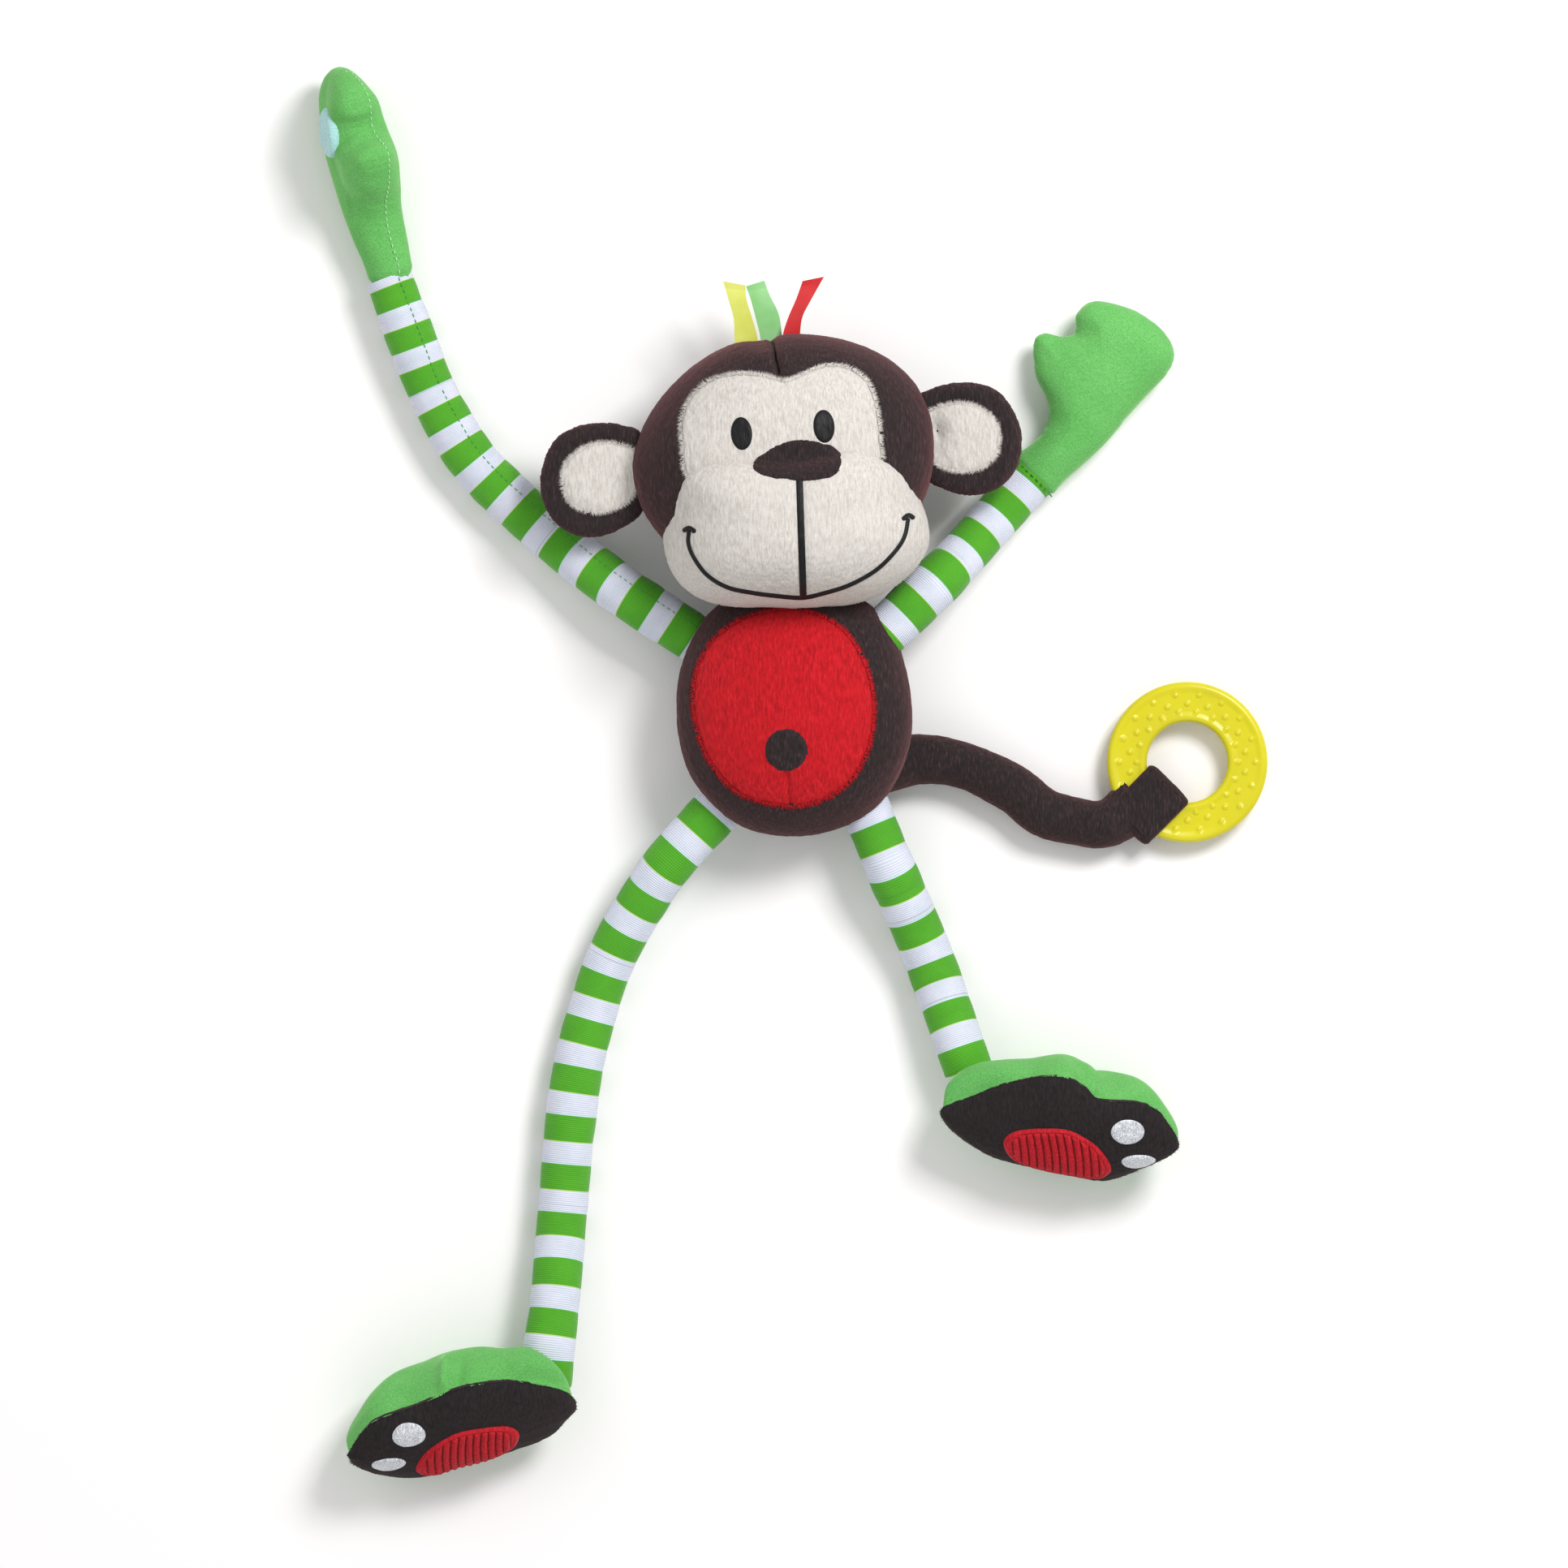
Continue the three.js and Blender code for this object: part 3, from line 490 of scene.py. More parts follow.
BROWN = pile_material("brown_plush", "1b1819", "2b2526", "563b3e", "bc7478", sheen=0.42)
# A darker copy of the brown plush for the soles: the same cloth, with painted shade in its colour and a weaker sheen.
SHADED_SOLE_BROWN = pile_material("shaded_brown_plush", "191718", "272324", "38292b", "8a6a6c", sheen=0.2)
CREAM = pile_material("cream_plush", "bfb8b1", "d3cec8", "e0dcd7", "ffffff", sheen=0.1)
RED = pile_material("red_plush", "9c0f1a", "c4141f", "d42a33", "ff9a8a", sheen=0.12)
GREEN = velour_material()
KNIT = knit_material()
# Near-black thread for the forehead dart's seam: its darkness is painted shade of the dart's groove.
DART_SEAM_SHADE = thread_material("dart_seam_shade_thread", "0c0809", "1a1214", shine=0.1, sheen=0.0)
BLACK = thread_material("black_thread", "050506", "161518", shine=0.25, sheen=0.0)
SILVER = thread_material("silver_thread", "9ea2ac", "eef0f4", roughness=0.35)
PAD_RED = thread_material("red_ribbed_cloth", "a2121e", "c8222e", per_metre=1800, roughness=0.8, shine=0.2, sheen=0.1, ridged=True)
SEAM_THREAD = thread_material("seam_thread", "2f8a33", "55a850", roughness=0.6)
HAND_THREAD = thread_material("hand_seam_thread", "8fd488", "c4ecbc", roughness=0.6)
CUFF_THREAD = thread_material("cuff_thread", "15601c", "2c7c30", roughness=0.6, sheen=0.1)
PALM = loop_pile_material()
FIBRE = fibre_material()
RING_YELLOW = plastic_material("yellow_plastic", "d4cb06", "c9bf03")
CASE_CLEAR = plastic_material("clear_plastic", "dfe6ea", "cdd8de", 0.2)
CASE_BLUE = plastic_material("blue_plastic", "3f7fc4", "3470b4", 0.25)
RIBBONS = {
    "yellow": ribbon_material("yellow_ribbon", "ccd150", "d8dc6c"),
    "green": ribbon_material("green_ribbon", "86cb80", "9ed796"),
    "red": ribbon_material("red_ribbon", "c4141a", "d22a2c"),
}


# ---------------------------------------------------------------- head's own frame

HEAD_AT = (pivot("ear_right_fold") + pivot("ear_left_fold")) / 2
HEAD_Y = axis("ear_right_fold")
HEAD_X = np.cross(HEAD_Y, UP)
SKULL = {"left": 64.3, "right": 61.3, "up": 51.3, "deep": 42.0, "power": 2.25}


def head_place(points):
    return place(np.asarray(points, float), HEAD_AT, HEAD_X, HEAD_Y, UP)


def skull_width(x):
    return np.where(np.asarray(x) > 0, SKULL["left"], SKULL["right"])


def skull_z(x, y, power=2.15):
    """Height of the skull's front, above the head's middle."""
    flat = np.abs(x / skull_width(x)) ** power + np.abs(y / SKULL["up"]) ** power
    return SKULL["deep"] * np.clip(1 - flat, 0, 1) ** (1 / power)


MUZZLE_OUTLINE = [
    (43, -6), (52, -13), (57, -22), (59.5, -30), (60.3, -38), (58.8, -45), (52.4, -53.5), (41, -61), (28, -65),
    (14, -65.6), (4, -65.6), (-10, -64), (-22, -62.8), (-34, -59.8), (-43.3, -53.8), (-49.6, -44), (-51.4, -30),
    (-49.3, -21), (-44.5, -12), (-37, -4.5), (-24, -1), (-9.8, -2.5), (6.6, -3.5), (20, -2), (32, -1),
]
MUZZLE_MID = (4.5, -33.0)
MUZZLE_TOP = 55.5  # mm in front of the head's middle
muzzle_star = Star(MUZZLE_OUTLINE, MUZZLE_MID)


def muzzle_rim(x, y):
    """Height of the muzzle's edge: on the face at the top, tucked under at the sides and chin."""
    return 4 + (skull_z(x, y) - 7) * smoothstep(y, -30, -6)


def muzzle_z(x, y):
    share = np.clip(muzzle_star.share(x, y), 0, 1)
    angle = np.arctan2(y - MUZZLE_MID[1], x - MUZZLE_MID[0])
    reach = muzzle_star.radius(angle)
    rim = muzzle_rim(MUZZLE_MID[0] + reach * np.cos(angle), MUZZLE_MID[1] + reach * np.sin(angle))
    crease = 1.1 * np.exp(-(((x - philtrum_x(y)) / 2.6) ** 2)) * smoothstep(-y, 8, 20)
    return rim + (MUZZLE_TOP - rim) * (1 - share**2.5) ** 0.52 - crease


def philtrum_x(y):
    """The line down the middle of the muzzle, from the nose to the mouth."""
    return 7.6 + (y + 12) * 0.045


def face_z(x, y):
    return np.maximum(skull_z(x, y) + 1.0, muzzle_z(x, y))


# ---------------------------------------------------------------- shapes on a surface


def dome(star, rows, cols, height, low, jag=0.0, seed=1):
    """A closed form over a star outline. height(x, y, share) is its top, low(x, y) its underside."""
    random = np.random.default_rng(seed)
    angle = np.linspace(-math.pi, math.pi, cols, endpoint=False)
    reach = star.radius(angle) + jag * random.uniform(-1, 1, cols)
    shares = np.sin(np.linspace(0.02, 1, rows) * math.pi / 2)
    rings = []
    for share in shares:
        x = star.centre[0] + share * reach * np.cos(angle)
        y = star.centre[1] + share * reach * np.sin(angle)
        rings.append(np.stack([x, y, height(x, y, share)], axis=1))
    for share in (0.97, 0.8, 0.4):
        x = star.centre[0] + share * reach * np.cos(angle)
        y = star.centre[1] + share * reach * np.sin(angle)
        rings.append(np.stack([x, y, low(x, y)], axis=1))
    return rings_to_mesh(np.array(rings))


def patch(outline, centre, surface, thick, rows=40, cols=240, sink=1.2, jag=0.0, round_power=8, seed=1):
    """A padded patch that lies on a surface: thick in the middle, turned down at its edge."""
    star = Star(outline, centre)

    def top(x, y, share):
        return surface(x, y) + (thick + sink) * (1 - share**round_power) ** 0.5 - sink

    return dome(star, rows, cols, top, lambda x, y: surface(x, y) - sink - 0.6, jag, seed)


def fringe_mesh(star, surface, lift, length, count, seed):
    """Tufts of pile along a panel's edge: thin pointed blades that cross the seam."""
    random = np.random.default_rng(seed)
    angle = np.sort(random.uniform(-math.pi, math.pi, count))
    reach = star.radius(angle)
    out = angle + random.normal(0, 0.5, count)
    heading = np.column_stack([np.cos(out), np.sin(out)])
    across = np.column_stack([-np.sin(out), np.cos(out)]) * random.uniform(0.07, 0.16, count)[:, None]
    edge = star.centre + np.column_stack([np.cos(angle), np.sin(angle)]) * reach[:, None]
    tip = edge + heading * (random.uniform(0.3, 1.0, count) * length)[:, None]
    root = edge - heading * 1.3
    base = surface(root[:, 0], root[:, 1]) + lift
    end = surface(tip[:, 0], tip[:, 1]) + 0.3
    corners = np.stack(
        [
            np.column_stack([root + across, base]),
            np.column_stack([root - across, base]),
            np.column_stack([root, base - 0.4]),
            np.column_stack([tip, end]),
        ],
        axis=1,
    )
    blade = ((0, 1, 3), (1, 2, 3), (2, 0, 3), (1, 0, 2))
    faces = [tuple(4 * i + v for v in face) for i in range(count) for face in blade]
    return corners.reshape(-1, 3), faces


def fringe(star, surface, lift, length, material, name, count, to_place, seed):
    points, faces = fringe_mesh(star, surface, lift, length, count, seed)
    return make_object(name, to_place(points), faces, material, smooth=False)


def raised_line(points2d, width, skin, height, stitch=0.55, cols=12):
    """Satin stitch along a line on a skin, with a ridge for each stitch."""
    line = spline(points2d, step=stitch / 2)
    ahead = np.gradient(line, axis=0)
    ahead /= np.linalg.norm(ahead, axis=1)[:, None]
    across = np.stack([-ahead[:, 1], ahead[:, 0]], axis=1)
    n = len(line)
    taper = np.minimum(1, np.minimum(np.arange(n), np.arange(n)[::-1]) / 3 + 0.35)
    size = taper * (1 + 0.08 * np.where(np.arange(n) % 2, 1, -1))
    angle = np.linspace(0, 2 * math.pi, cols, endpoint=False)
    reach = np.cos(angle)[None, :] * (width / 2 * size)[:, None]
    flat = line[:, None, :] + across[:, None, :] * reach[..., None]
    spots, facings = skin.sound(flat[..., 0], flat[..., 1])
    facings = facings.mean(axis=1, keepdims=True)
    lift = np.sin(angle)[None, :] * (height * size)[:, None]
    return rings_to_mesh(spots + facings * lift[..., None])


# ---------------------------------------------------------------- fur strands


def fur(piece, material, length, lie, seed, per_mm2=8.0, thick=0.045, lean=1.2, clear=None):
    """Covers a piece with fine strands that lie along the nap, but none within reach of the clear places."""
    cover = np.ones(len(piece.data.vertices), np.float32)
    if clear is not None:
        spots, reach = clear
        tree = KDTree(len(spots))
        for i, spot in enumerate(spots):
            tree.insert(spot, i)
        tree.balance()
        gap = np.array([tree.find(v.co / MM)[2] for v in piece.data.vertices])
        cover = smoothstep(gap, reach, reach + 0.5).astype(np.float32)
    piece.data.attributes.new("cover", "FLOAT", "POINT").data.foreach_set("value", cover)
    tree = bpy.data.node_groups.new(piece.name + "_fur", "GeometryNodeTree")
    tree.interface.new_socket("Geometry", in_out="INPUT", socket_type="NodeSocketGeometry")
    tree.interface.new_socket("Geometry", in_out="OUTPUT", socket_type="NodeSocketGeometry")

    def node(kind, **inputs):
        made = tree.nodes.new(kind)
        for key, value in inputs.items():
            socket = made.inputs[key.replace("_", " ")]
            if isinstance(value, bpy.types.NodeSocket):
                tree.links.new(value, socket)
            else:
                socket.default_value = value
        return made

    source = tree.nodes.new("NodeGroupInput").outputs[0]
    cover = node("GeometryNodeInputNamedAttribute", Name="cover")
    density = tree.nodes.new("ShaderNodeMath")
    density.operation = "MULTIPLY"
    tree.links.new(cover.outputs["Attribute"], density.inputs[0])
    density.inputs[1].default_value = per_mm2 * 1e6
    spread = node("GeometryNodeDistributePointsOnFaces", Mesh=source, Density=density.outputs[0], Seed=seed)
    jitter = tree.nodes.new("FunctionNodeRandomValue")
    jitter.data_type = "FLOAT_VECTOR"
    jitter.inputs[0].default_value = (-0.55, -0.55, -0.55)
    jitter.inputs[1].default_value = (0.55, 0.55, 0.55)
    add = tree.nodes.new("ShaderNodeVectorMath")
    add.operation = "ADD"
    tree.links.new(spread.outputs["Normal"], add.inputs[0])
    add.inputs[1].default_value = tuple(unit(lie) * lean)
    add2 = tree.nodes.new("ShaderNodeVectorMath")
    add2.operation = "ADD"
    tree.links.new(add.outputs[0], add2.inputs[0])
    tree.links.new(jitter.outputs[0], add2.inputs[1])
    turn = tree.nodes.new("FunctionNodeAlignRotationToVector")
    turn.axis = "Z"
    tree.links.new(add2.outputs[0], turn.inputs["Vector"])
    strand = node(
        "GeometryNodeCurvePrimitiveLine", Start=(0, 0, -0.2 * length * MM), End=(0, 0, length * MM)
    )
    size = tree.nodes.new("FunctionNodeRandomValue")
    size.data_type = "FLOAT"
    size.inputs[2].default_value = 0.55
    size.inputs[3].default_value = 1.15
    copies = node("GeometryNodeInstanceOnPoints", Points=spread.outputs["Points"], Instance=strand.outputs[0])
    tree.links.new(turn.outputs[0], copies.inputs["Rotation"])
    tree.links.new(size.outputs[1], copies.inputs["Scale"])
    real = node("GeometryNodeRealizeInstances", Geometry=copies.outputs[0])
    radius = node("GeometryNodeSetCurveRadius", Curve=real.outputs[0], Radius=thick * MM)
    paint = node("GeometryNodeSetMaterial", Geometry=radius.outputs[0], Material=material)
    join = tree.nodes.new("GeometryNodeJoinGeometry")
    tree.links.new(paint.outputs[0], join.inputs[0])
    tree.links.new(source, join.inputs[0])
    sink = tree.nodes.new("NodeGroupOutput")
    tree.links.new(join.outputs[0], sink.inputs[0])
    modifier = piece.modifiers.new("fur", "NODES")
    modifier.node_group = tree


# ---------------------------------------------------------------- torso

TORSO_LOW, TORSO_HIGH = node_box("torso_cover")
TORSO = {"half_width": 49.5, "half_depth": 31.8, "up": 56.0, "down": 49.8, "z": 31.0}


def torso_width(y):
    """The torso's half width at each height of its long axis."""
    reach = np.where(y > 0, TORSO["up"], TORSO["down"])
    power = np.where(y > 0, 2 / 2.5, 2 / 2.1)
    sine = np.clip(np.abs(y) / reach, 0, 1) ** (1 / power)
    return TORSO["half_width"] * np.sqrt(np.clip(1 - sine**2, 0, 1)) ** power


def torso_z(x, y):
    width = torso_width(y)
    flatten = TORSO["half_depth"] / TORSO["half_width"]
    return TORSO["z"] + flatten * np.sqrt(np.clip(width**2 - x**2, 0, None))


def torso_skin():
    rows, cols = 190, 300
    lat = np.linspace(-math.pi / 2 + 0.01, math.pi / 2 - 0.01, rows)
    reach = np.where(lat > 0, TORSO["up"], TORSO["down"])
    power = np.where(lat > 0, 2 / 2.5, 2 / 2.1)
    y = np.sign(lat) * reach * np.abs(np.sin(lat)) ** power
    r = TORSO["half_width"] * np.cos(lat) ** power
    lon = np.linspace(0, 2 * math.pi, cols, endpoint=False)
    flatten = TORSO["half_depth"] / TORSO["half_width"]
    x = r[:, None] * np.cos(lon)[None, :]
    z = TORSO["z"] + flatten * r[:, None] * np.sin(lon)[None, :]
    rings = np.stack([x, np.broadcast_to(y[:, None], x.shape), z], axis=2)
    points, faces = rings_to_mesh(rings)
    faces = [tuple(reversed(f)) for f in faces]
    side_seam = np.exp(-(((points[:, 2] - TORSO["z"]) / 1.6) ** 2)) * smoothstep(np.abs(points[:, 0]), 30, 44)
    normals = normals_of(points, faces)
    points = points + normals * (0.5 * fluff(points, 22, 5) - 0.9 * side_seam)[:, None]
    points = nap(points, faces, 0.13, 11)
    points[:, 2] = np.maximum(points[:, 2], 0.15)
    return points, faces


def carve(points, star, front, depth):
    """Sinks the part of a skin that a sewn-on panel covers. front is the height above which it counts."""
    under = smoothstep(1 - star.share(points[:, 0], points[:, 1]), 0.01, 0.09) * (points[:, 2] > front)
    carved = points.copy()
    carved[:, 2] -= depth * under
    return carved


TUMMY_OUTLINE = [
    (-3, 46.5), (10, 44), (21, 37.5), (28.5, 27), (33, 14), (34.0, 0), (31.3, -14), (25, -25.5), (14.6, -33.8),
    (2, -37.6), (-11, -36.6), (-24.6, -31.6), (-35.6, -19.6), (-41.8, -4.5), (-43.4, 10), (-40.4, 24), (-33, 35),
    (-20.5, 43),
]
TUMMY_MID = (-4.2, 4.0)


def tummy_seam(x, y):
    """Depth of the short seam below the button."""
    line = np.exp(-(((x + 3.6 + (y + 22) * 0.12) / 1.1) ** 2))
    return line * smoothstep(-y, 21, 24) * smoothstep(y, -40, -34)


def torso():
    made = []
    points, faces = torso_skin()
    cover = Skin(points, faces)
    star = Star(TUMMY_OUTLINE, TUMMY_MID)
    skin = make_object("torso_plush", carve(points, star, TORSO["z"], 1.8), faces, BROWN)
    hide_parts("torso_cover")
    made.append((skin, "brown_plush"))
    fur(skin, BROWN, 1.5, (-0.1, -1, 0.1), 21)

    def panel_base(x, y):
        return cover.height(x, y) - 1.5 * tummy_seam(x, y)

    low, high = node_box("belly_button")
    middle = ((low + high) / 2)[:2]
    radius = (high[0] - low[0]) / 2 + 0.2
    disc = oval(middle, (radius, radius), 12)
    points, faces = patch(TUMMY_OUTLINE, TUMMY_MID, panel_base, 1.1, rows=70, cols=380, jag=0.2)
    points = nap(points, faces, 0.13, 13)
    red = Skin(points, faces)
    panel = make_object("tummy_red_plush", points, faces, RED)
    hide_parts("tummy_panel")
    made.append((panel, "red_plush"))
    spots = red.sound(*np.array(spread_over(disc, middle, 1.0)).T)[0]
    fur(panel, RED, 1.4, (-0.15, -1, 0.1), 22, clear=(spots, 1.0))
    made.append((fringe(star, cover.height, 0.6, 1.5, RED, "tummy_edge_pile", 1500, lambda p: p, 23), "red_plush"))

    points, faces = patch(disc, middle, red.height, 1.2, rows=24, cols=120, jag=0.2)
    points = nap(points, faces, 0.13, 14)
    button = make_object("belly_button_plush", points, faces, BROWN)
    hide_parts("belly_button")
    made.append((button, "brown_plush"))
    fur(button, BROWN, 1.2, (0, -1, 0.1), 24)
    for piece, slot in made:
        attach(piece, "torso")


# ---------------------------------------------------------------- head


def dart_x(y):
    """Where the dart down the forehead lies."""
    return 2.0 - (y - 40) * 0.12


def skull_skin():
    rows, cols = 180, 320
    lat = np.linspace(-math.pi / 2 + 0.008, math.pi / 2 - 0.008, rows)
    lon = np.linspace(0, 2 * math.pi, cols, endpoint=False)
    bend = 2 / SKULL["power"]
    c, s = np.cos(lon), np.sin(lon)
    ring_x = np.sign(c) * np.abs(c) ** bend
    ring_y = np.sign(s) * np.abs(s) ** bend
    width = skull_width(ring_x)
    r = np.cos(lat) ** bend
    z = SKULL["deep"] * np.sign(lat) * np.abs(np.sin(lat)) ** bend
    slope = 1 - 0.095 * np.clip(-c, 0, 1) * np.clip(s, 0, 1) * 2
    x = r[:, None] * (width * ring_x * slope)[None, :]
    y = r[:, None] * (SKULL["up"] * ring_y * slope)[None, :]
    rings = np.stack([x, y, np.broadcast_to(z[:, None], x.shape)], axis=2)
    points, faces = rings_to_mesh(rings)
    front = smoothstep(points[:, 2], -12, 8)
    top = smoothstep(points[:, 1], 28, 34)
    dart = np.exp(-(((points[:, 0] - dart_x(points[:, 1])) / 1.1) ** 2)) * top * front
    crown = np.exp(-(((points[:, 0] + 3) / 7) ** 2)) * smoothstep(points[:, 1], 40, 50)
    rim_seam = np.exp(-(((points[:, 2] + 4) / 1.7) ** 2))
    normals = normals_of(points, faces)
    sink = 3.0 * dart + 2.1 * crown + 0.8 * rim_seam - 0.6 * fluff(points, 26, 6)
    points = points - normals * sink[:, None]
    return nap(points, faces, 0.13, 15), faces


FACE_OUTLINE = [
    (-38, -9), (-40.8, 7.4), (-40.2, 18), (-35.2, 27), (-26.9, 33.2), (-16.2, 35.2), (-6.8, 34.2), (1.2, 31.8),
    (5.8, 30.6), (11.9, 32.4), (19.2, 35.1), (26.4, 35.5), (33.2, 33.5), (38.8, 28.9), (41.9, 22.2), (43.4, 13),
    (43.4, 3), (41.5, -8), (20, -12), (-15, -12),
]
NOSE_OUTLINE = [
    (-11.6, -5.6), (-9, -1.2), (-2.2, 3.3), (7.4, 5.1), (16.7, 3.6), (23.5, 0.2), (26.8, -5), (25, -9.6),
    (20.2, -12.1), (13.1, -12.8), (6, -12.4), (-3.3, -10.8), (-9.2, -8.6),
]
NOSE_MID = (7.5, -4.2)
SMILE = [
    (-40, -29), (-40.6, -35.1), (-38.4, -41.8), (-33.5, -49.0), (-25.7, -54.4), (-16.4, -57.2), (-7.1, -59.2),
    (4.7, -61), (14.1, -59.9), (24.9, -57.4), (36, -52.4), (44.1, -45.9), (49.3, -39.4), (51.8, -31.4),
]
TICKS = [[(-42.6, -29.6), (-40, -28.4), (-37.3, -30.4)], [(49.2, -32), (51.9, -30.2), (54.3, -31.8)]]
EYES = {"right": (-15.0, 9.2), "left": (19.6, 9.5)}
EYE_HALF = (4.55, 7.1)


def head_piece(name, mesh, material, slot, *nodes):
    points, faces = mesh
    piece = make_object(name, head_place(points), faces, material)
    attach(piece, "head")
    if nodes:
        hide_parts(*nodes)
    return piece


def oval(centre, half, count=14):
    turn = np.linspace(0, 2 * math.pi, count, endpoint=False)
    return [(centre[0] + half[0] * math.cos(a), centre[1] + half[1] * math.sin(a)) for a in turn]


def spread_over(outline, centre, step):
    """Places about one step apart all over a star-shaped outline."""
    star = Star(outline, centre)
    out = []
    for angle in np.linspace(0, 2 * math.pi, 40, endpoint=False):
        reach = star.radius(angle)
        for r in np.arange(0, reach, step):
            out.append((centre[0] + r * math.cos(angle), centre[1] + r * math.sin(angle)))
    return out


def base_under(outline, height):
    """A smooth sheet fitted to a surface's height along an outline."""
    x, y = np.array(outline, float).T

    def terms(a, b):
        a, b = np.broadcast_arrays(np.asarray(a, float), np.asarray(b, float))
        return np.stack([np.ones_like(a), a, b, a * a, b * b], axis=-1)

    fit, *_ = np.linalg.lstsq(terms(x, y), height(x, y), rcond=None)
    return lambda a, b: terms(a, b) @ fit


def head():
    points, faces = skull_skin()
    cover = Skin(points, faces)
    face_mid = (2, 10)
    star = Star(FACE_OUTLINE, face_mid)
    skin = head_piece("head_plush", (carve(points, star, 10, 2.2), faces), BROWN, "brown_plush", "head_cover")
    dart = np.array([(dart_x(y), y) for y in np.arange(33, 48, 0.6)])
    fur(skin, BROWN, 1.5, (-0.25, -0.9, 0.1), 31, clear=(head_place(cover.sound(*dart.T)[0]), 1.1))
    # The dart's seam in near-black thread, which paints the shade in the groove.
    seam = raised_line(dart, 1.0, cover, 0.35)
    head_piece("forehead_dart_seam_shade", seam, DART_SEAM_SHADE, "brown_plush")

    eye_spots = [spot for centre in EYES.values() for spot in spread_over(oval(centre, EYE_HALF), centre, 0.9)]
    points, faces = patch(FACE_OUTLINE, face_mid, cover.height, 1.3, rows=80, cols=420, jag=0.25)
    points = nap(points, faces, 0.16, 16, grain=1.5)
    mask = Skin(points, faces)
    face = head_piece("face_cream_plush", (points, faces), CREAM, "cream_plush", "face_panel")
    clear = head_place(mask.sound(*np.array(eye_spots).T)[0])
    fur(face, CREAM, 2.0, (-0.3, -1, 0.1), 32, clear=(clear, 0.5))
    edge = fringe(star, cover.height, 0.7, 1.7, CREAM, "face_edge_pile", 1900, head_place, 33)
    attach(edge, "head")

    points, faces = dome(
        muzzle_star, 120, 440, lambda x, y, share: muzzle_z(x, y), lambda x, y: muzzle_rim(x, y) - 3, jag=0.15
    )
    points = nap(points, faces, 0.16, 17, grain=1.5)
    snout_skin = Skin(points, faces)
    snout = head_piece("muzzle_cream_plush", (points, faces), CREAM, "cream_plush", "muzzle")
    middle_line_2d = [(philtrum_x(y), y) for y in np.linspace(-11.5, -60.5, 9)]
    spots = [p for line in (SMILE, middle_line_2d, *TICKS) for p in spline(line, step=0.8)]
    clear = head_place(snout_skin.sound(*np.array(spots).T)[0])
    fur(snout, CREAM, 2.0, (-0.3, -1, 0.1), 34, clear=(clear, 0.75))

    base = base_under(spline(NOSE_OUTLINE, closed=True, step=2), face_z)

    def nose_z(x, y, share):
        full = base(x, y) - 0.8 + 6.4 * (1 - share**2.1) ** 0.55
        least = face_z(x, y) + 2.0 * (1 - share**6) - 0.8
        return (full + least + np.sqrt((full - least) ** 2 + 1.5 * (1 - share**4))) / 2

    points, faces = dome(Star(NOSE_OUTLINE, NOSE_MID), 50, 240, nose_z, lambda x, y: base(x, y) - 3.0, jag=0.15)
    nose = head_piece("nose_plush", (nap(points, faces, 0.12, 18), faces), BROWN, "brown_plush", "nose")
    fur(nose, BROWN, 1.3, (-0.1, -1, 0.1), 35)

    for side, centre in EYES.items():
        points, faces = patch(oval(centre, EYE_HALF), centre, mask.height, 0.9, rows=20, cols=90, sink=0.6)
        head_piece(f"eye_{side}_satin_stitch", (points, faces), BLACK, "black_thread", f"eye_{side}_embroidery")
    head_piece("smile_stitch", raised_line(SMILE, 1.6, snout_skin, 0.8), BLACK, "black_thread", "mouth_embroidery")
    for side, points2d in zip(("right", "left"), TICKS):
        head_piece(f"smile_tick_{side}", raised_line(points2d, 1.9, snout_skin, 0.8), BLACK, "black_thread")
    head_piece("philtrum_stitch", raised_line(middle_line_2d, 2.9, snout_skin, 0.8), BLACK, "black_thread")


def neck():
    low, high = node_box("neck_tape")
    middle = (low + high) / 2
    path = spline([(middle[0], low[1] - 3, middle[2] - 2), middle, (middle[0], high[1] + 4, middle[2] + 2)], step=0.8)
    rings = tube(path, np.linspace(24, 26, len(path)), 120, squash=0.62)
    points, faces = rings_to_mesh(rings)
    piece = make_object("neck_plush", nap(points, faces, 0.13, 19), faces, BROWN)
    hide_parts("neck_tape")
    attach(piece, "neck")
    fur(piece, BROWN, 1.4, (0, -1, 0.1), 36)


# ---------------------------------------------------------------- ears

EAR_OUTLINE = [
    (58, 18), (66, 22.5), (74, 24), (84, 23.6), (94, 19), (100.5, 8.5), (102.2, -3), (98.5, -14.5), (90, -21.8),
    (79, -23.5), (69, -20.5), (60, -14), (57, 2),
]
LINING_OUTLINE = [
    (59.5, 10), (66, 14.5), (75, 16.2), (84, 14.2), (91.5, 8), (93.3, 0), (91, -8), (84, -13), (74, -13.5),
    (65, -9.5), (60.5, -3),
]
EAR_HALF_DEPTH = 7.0


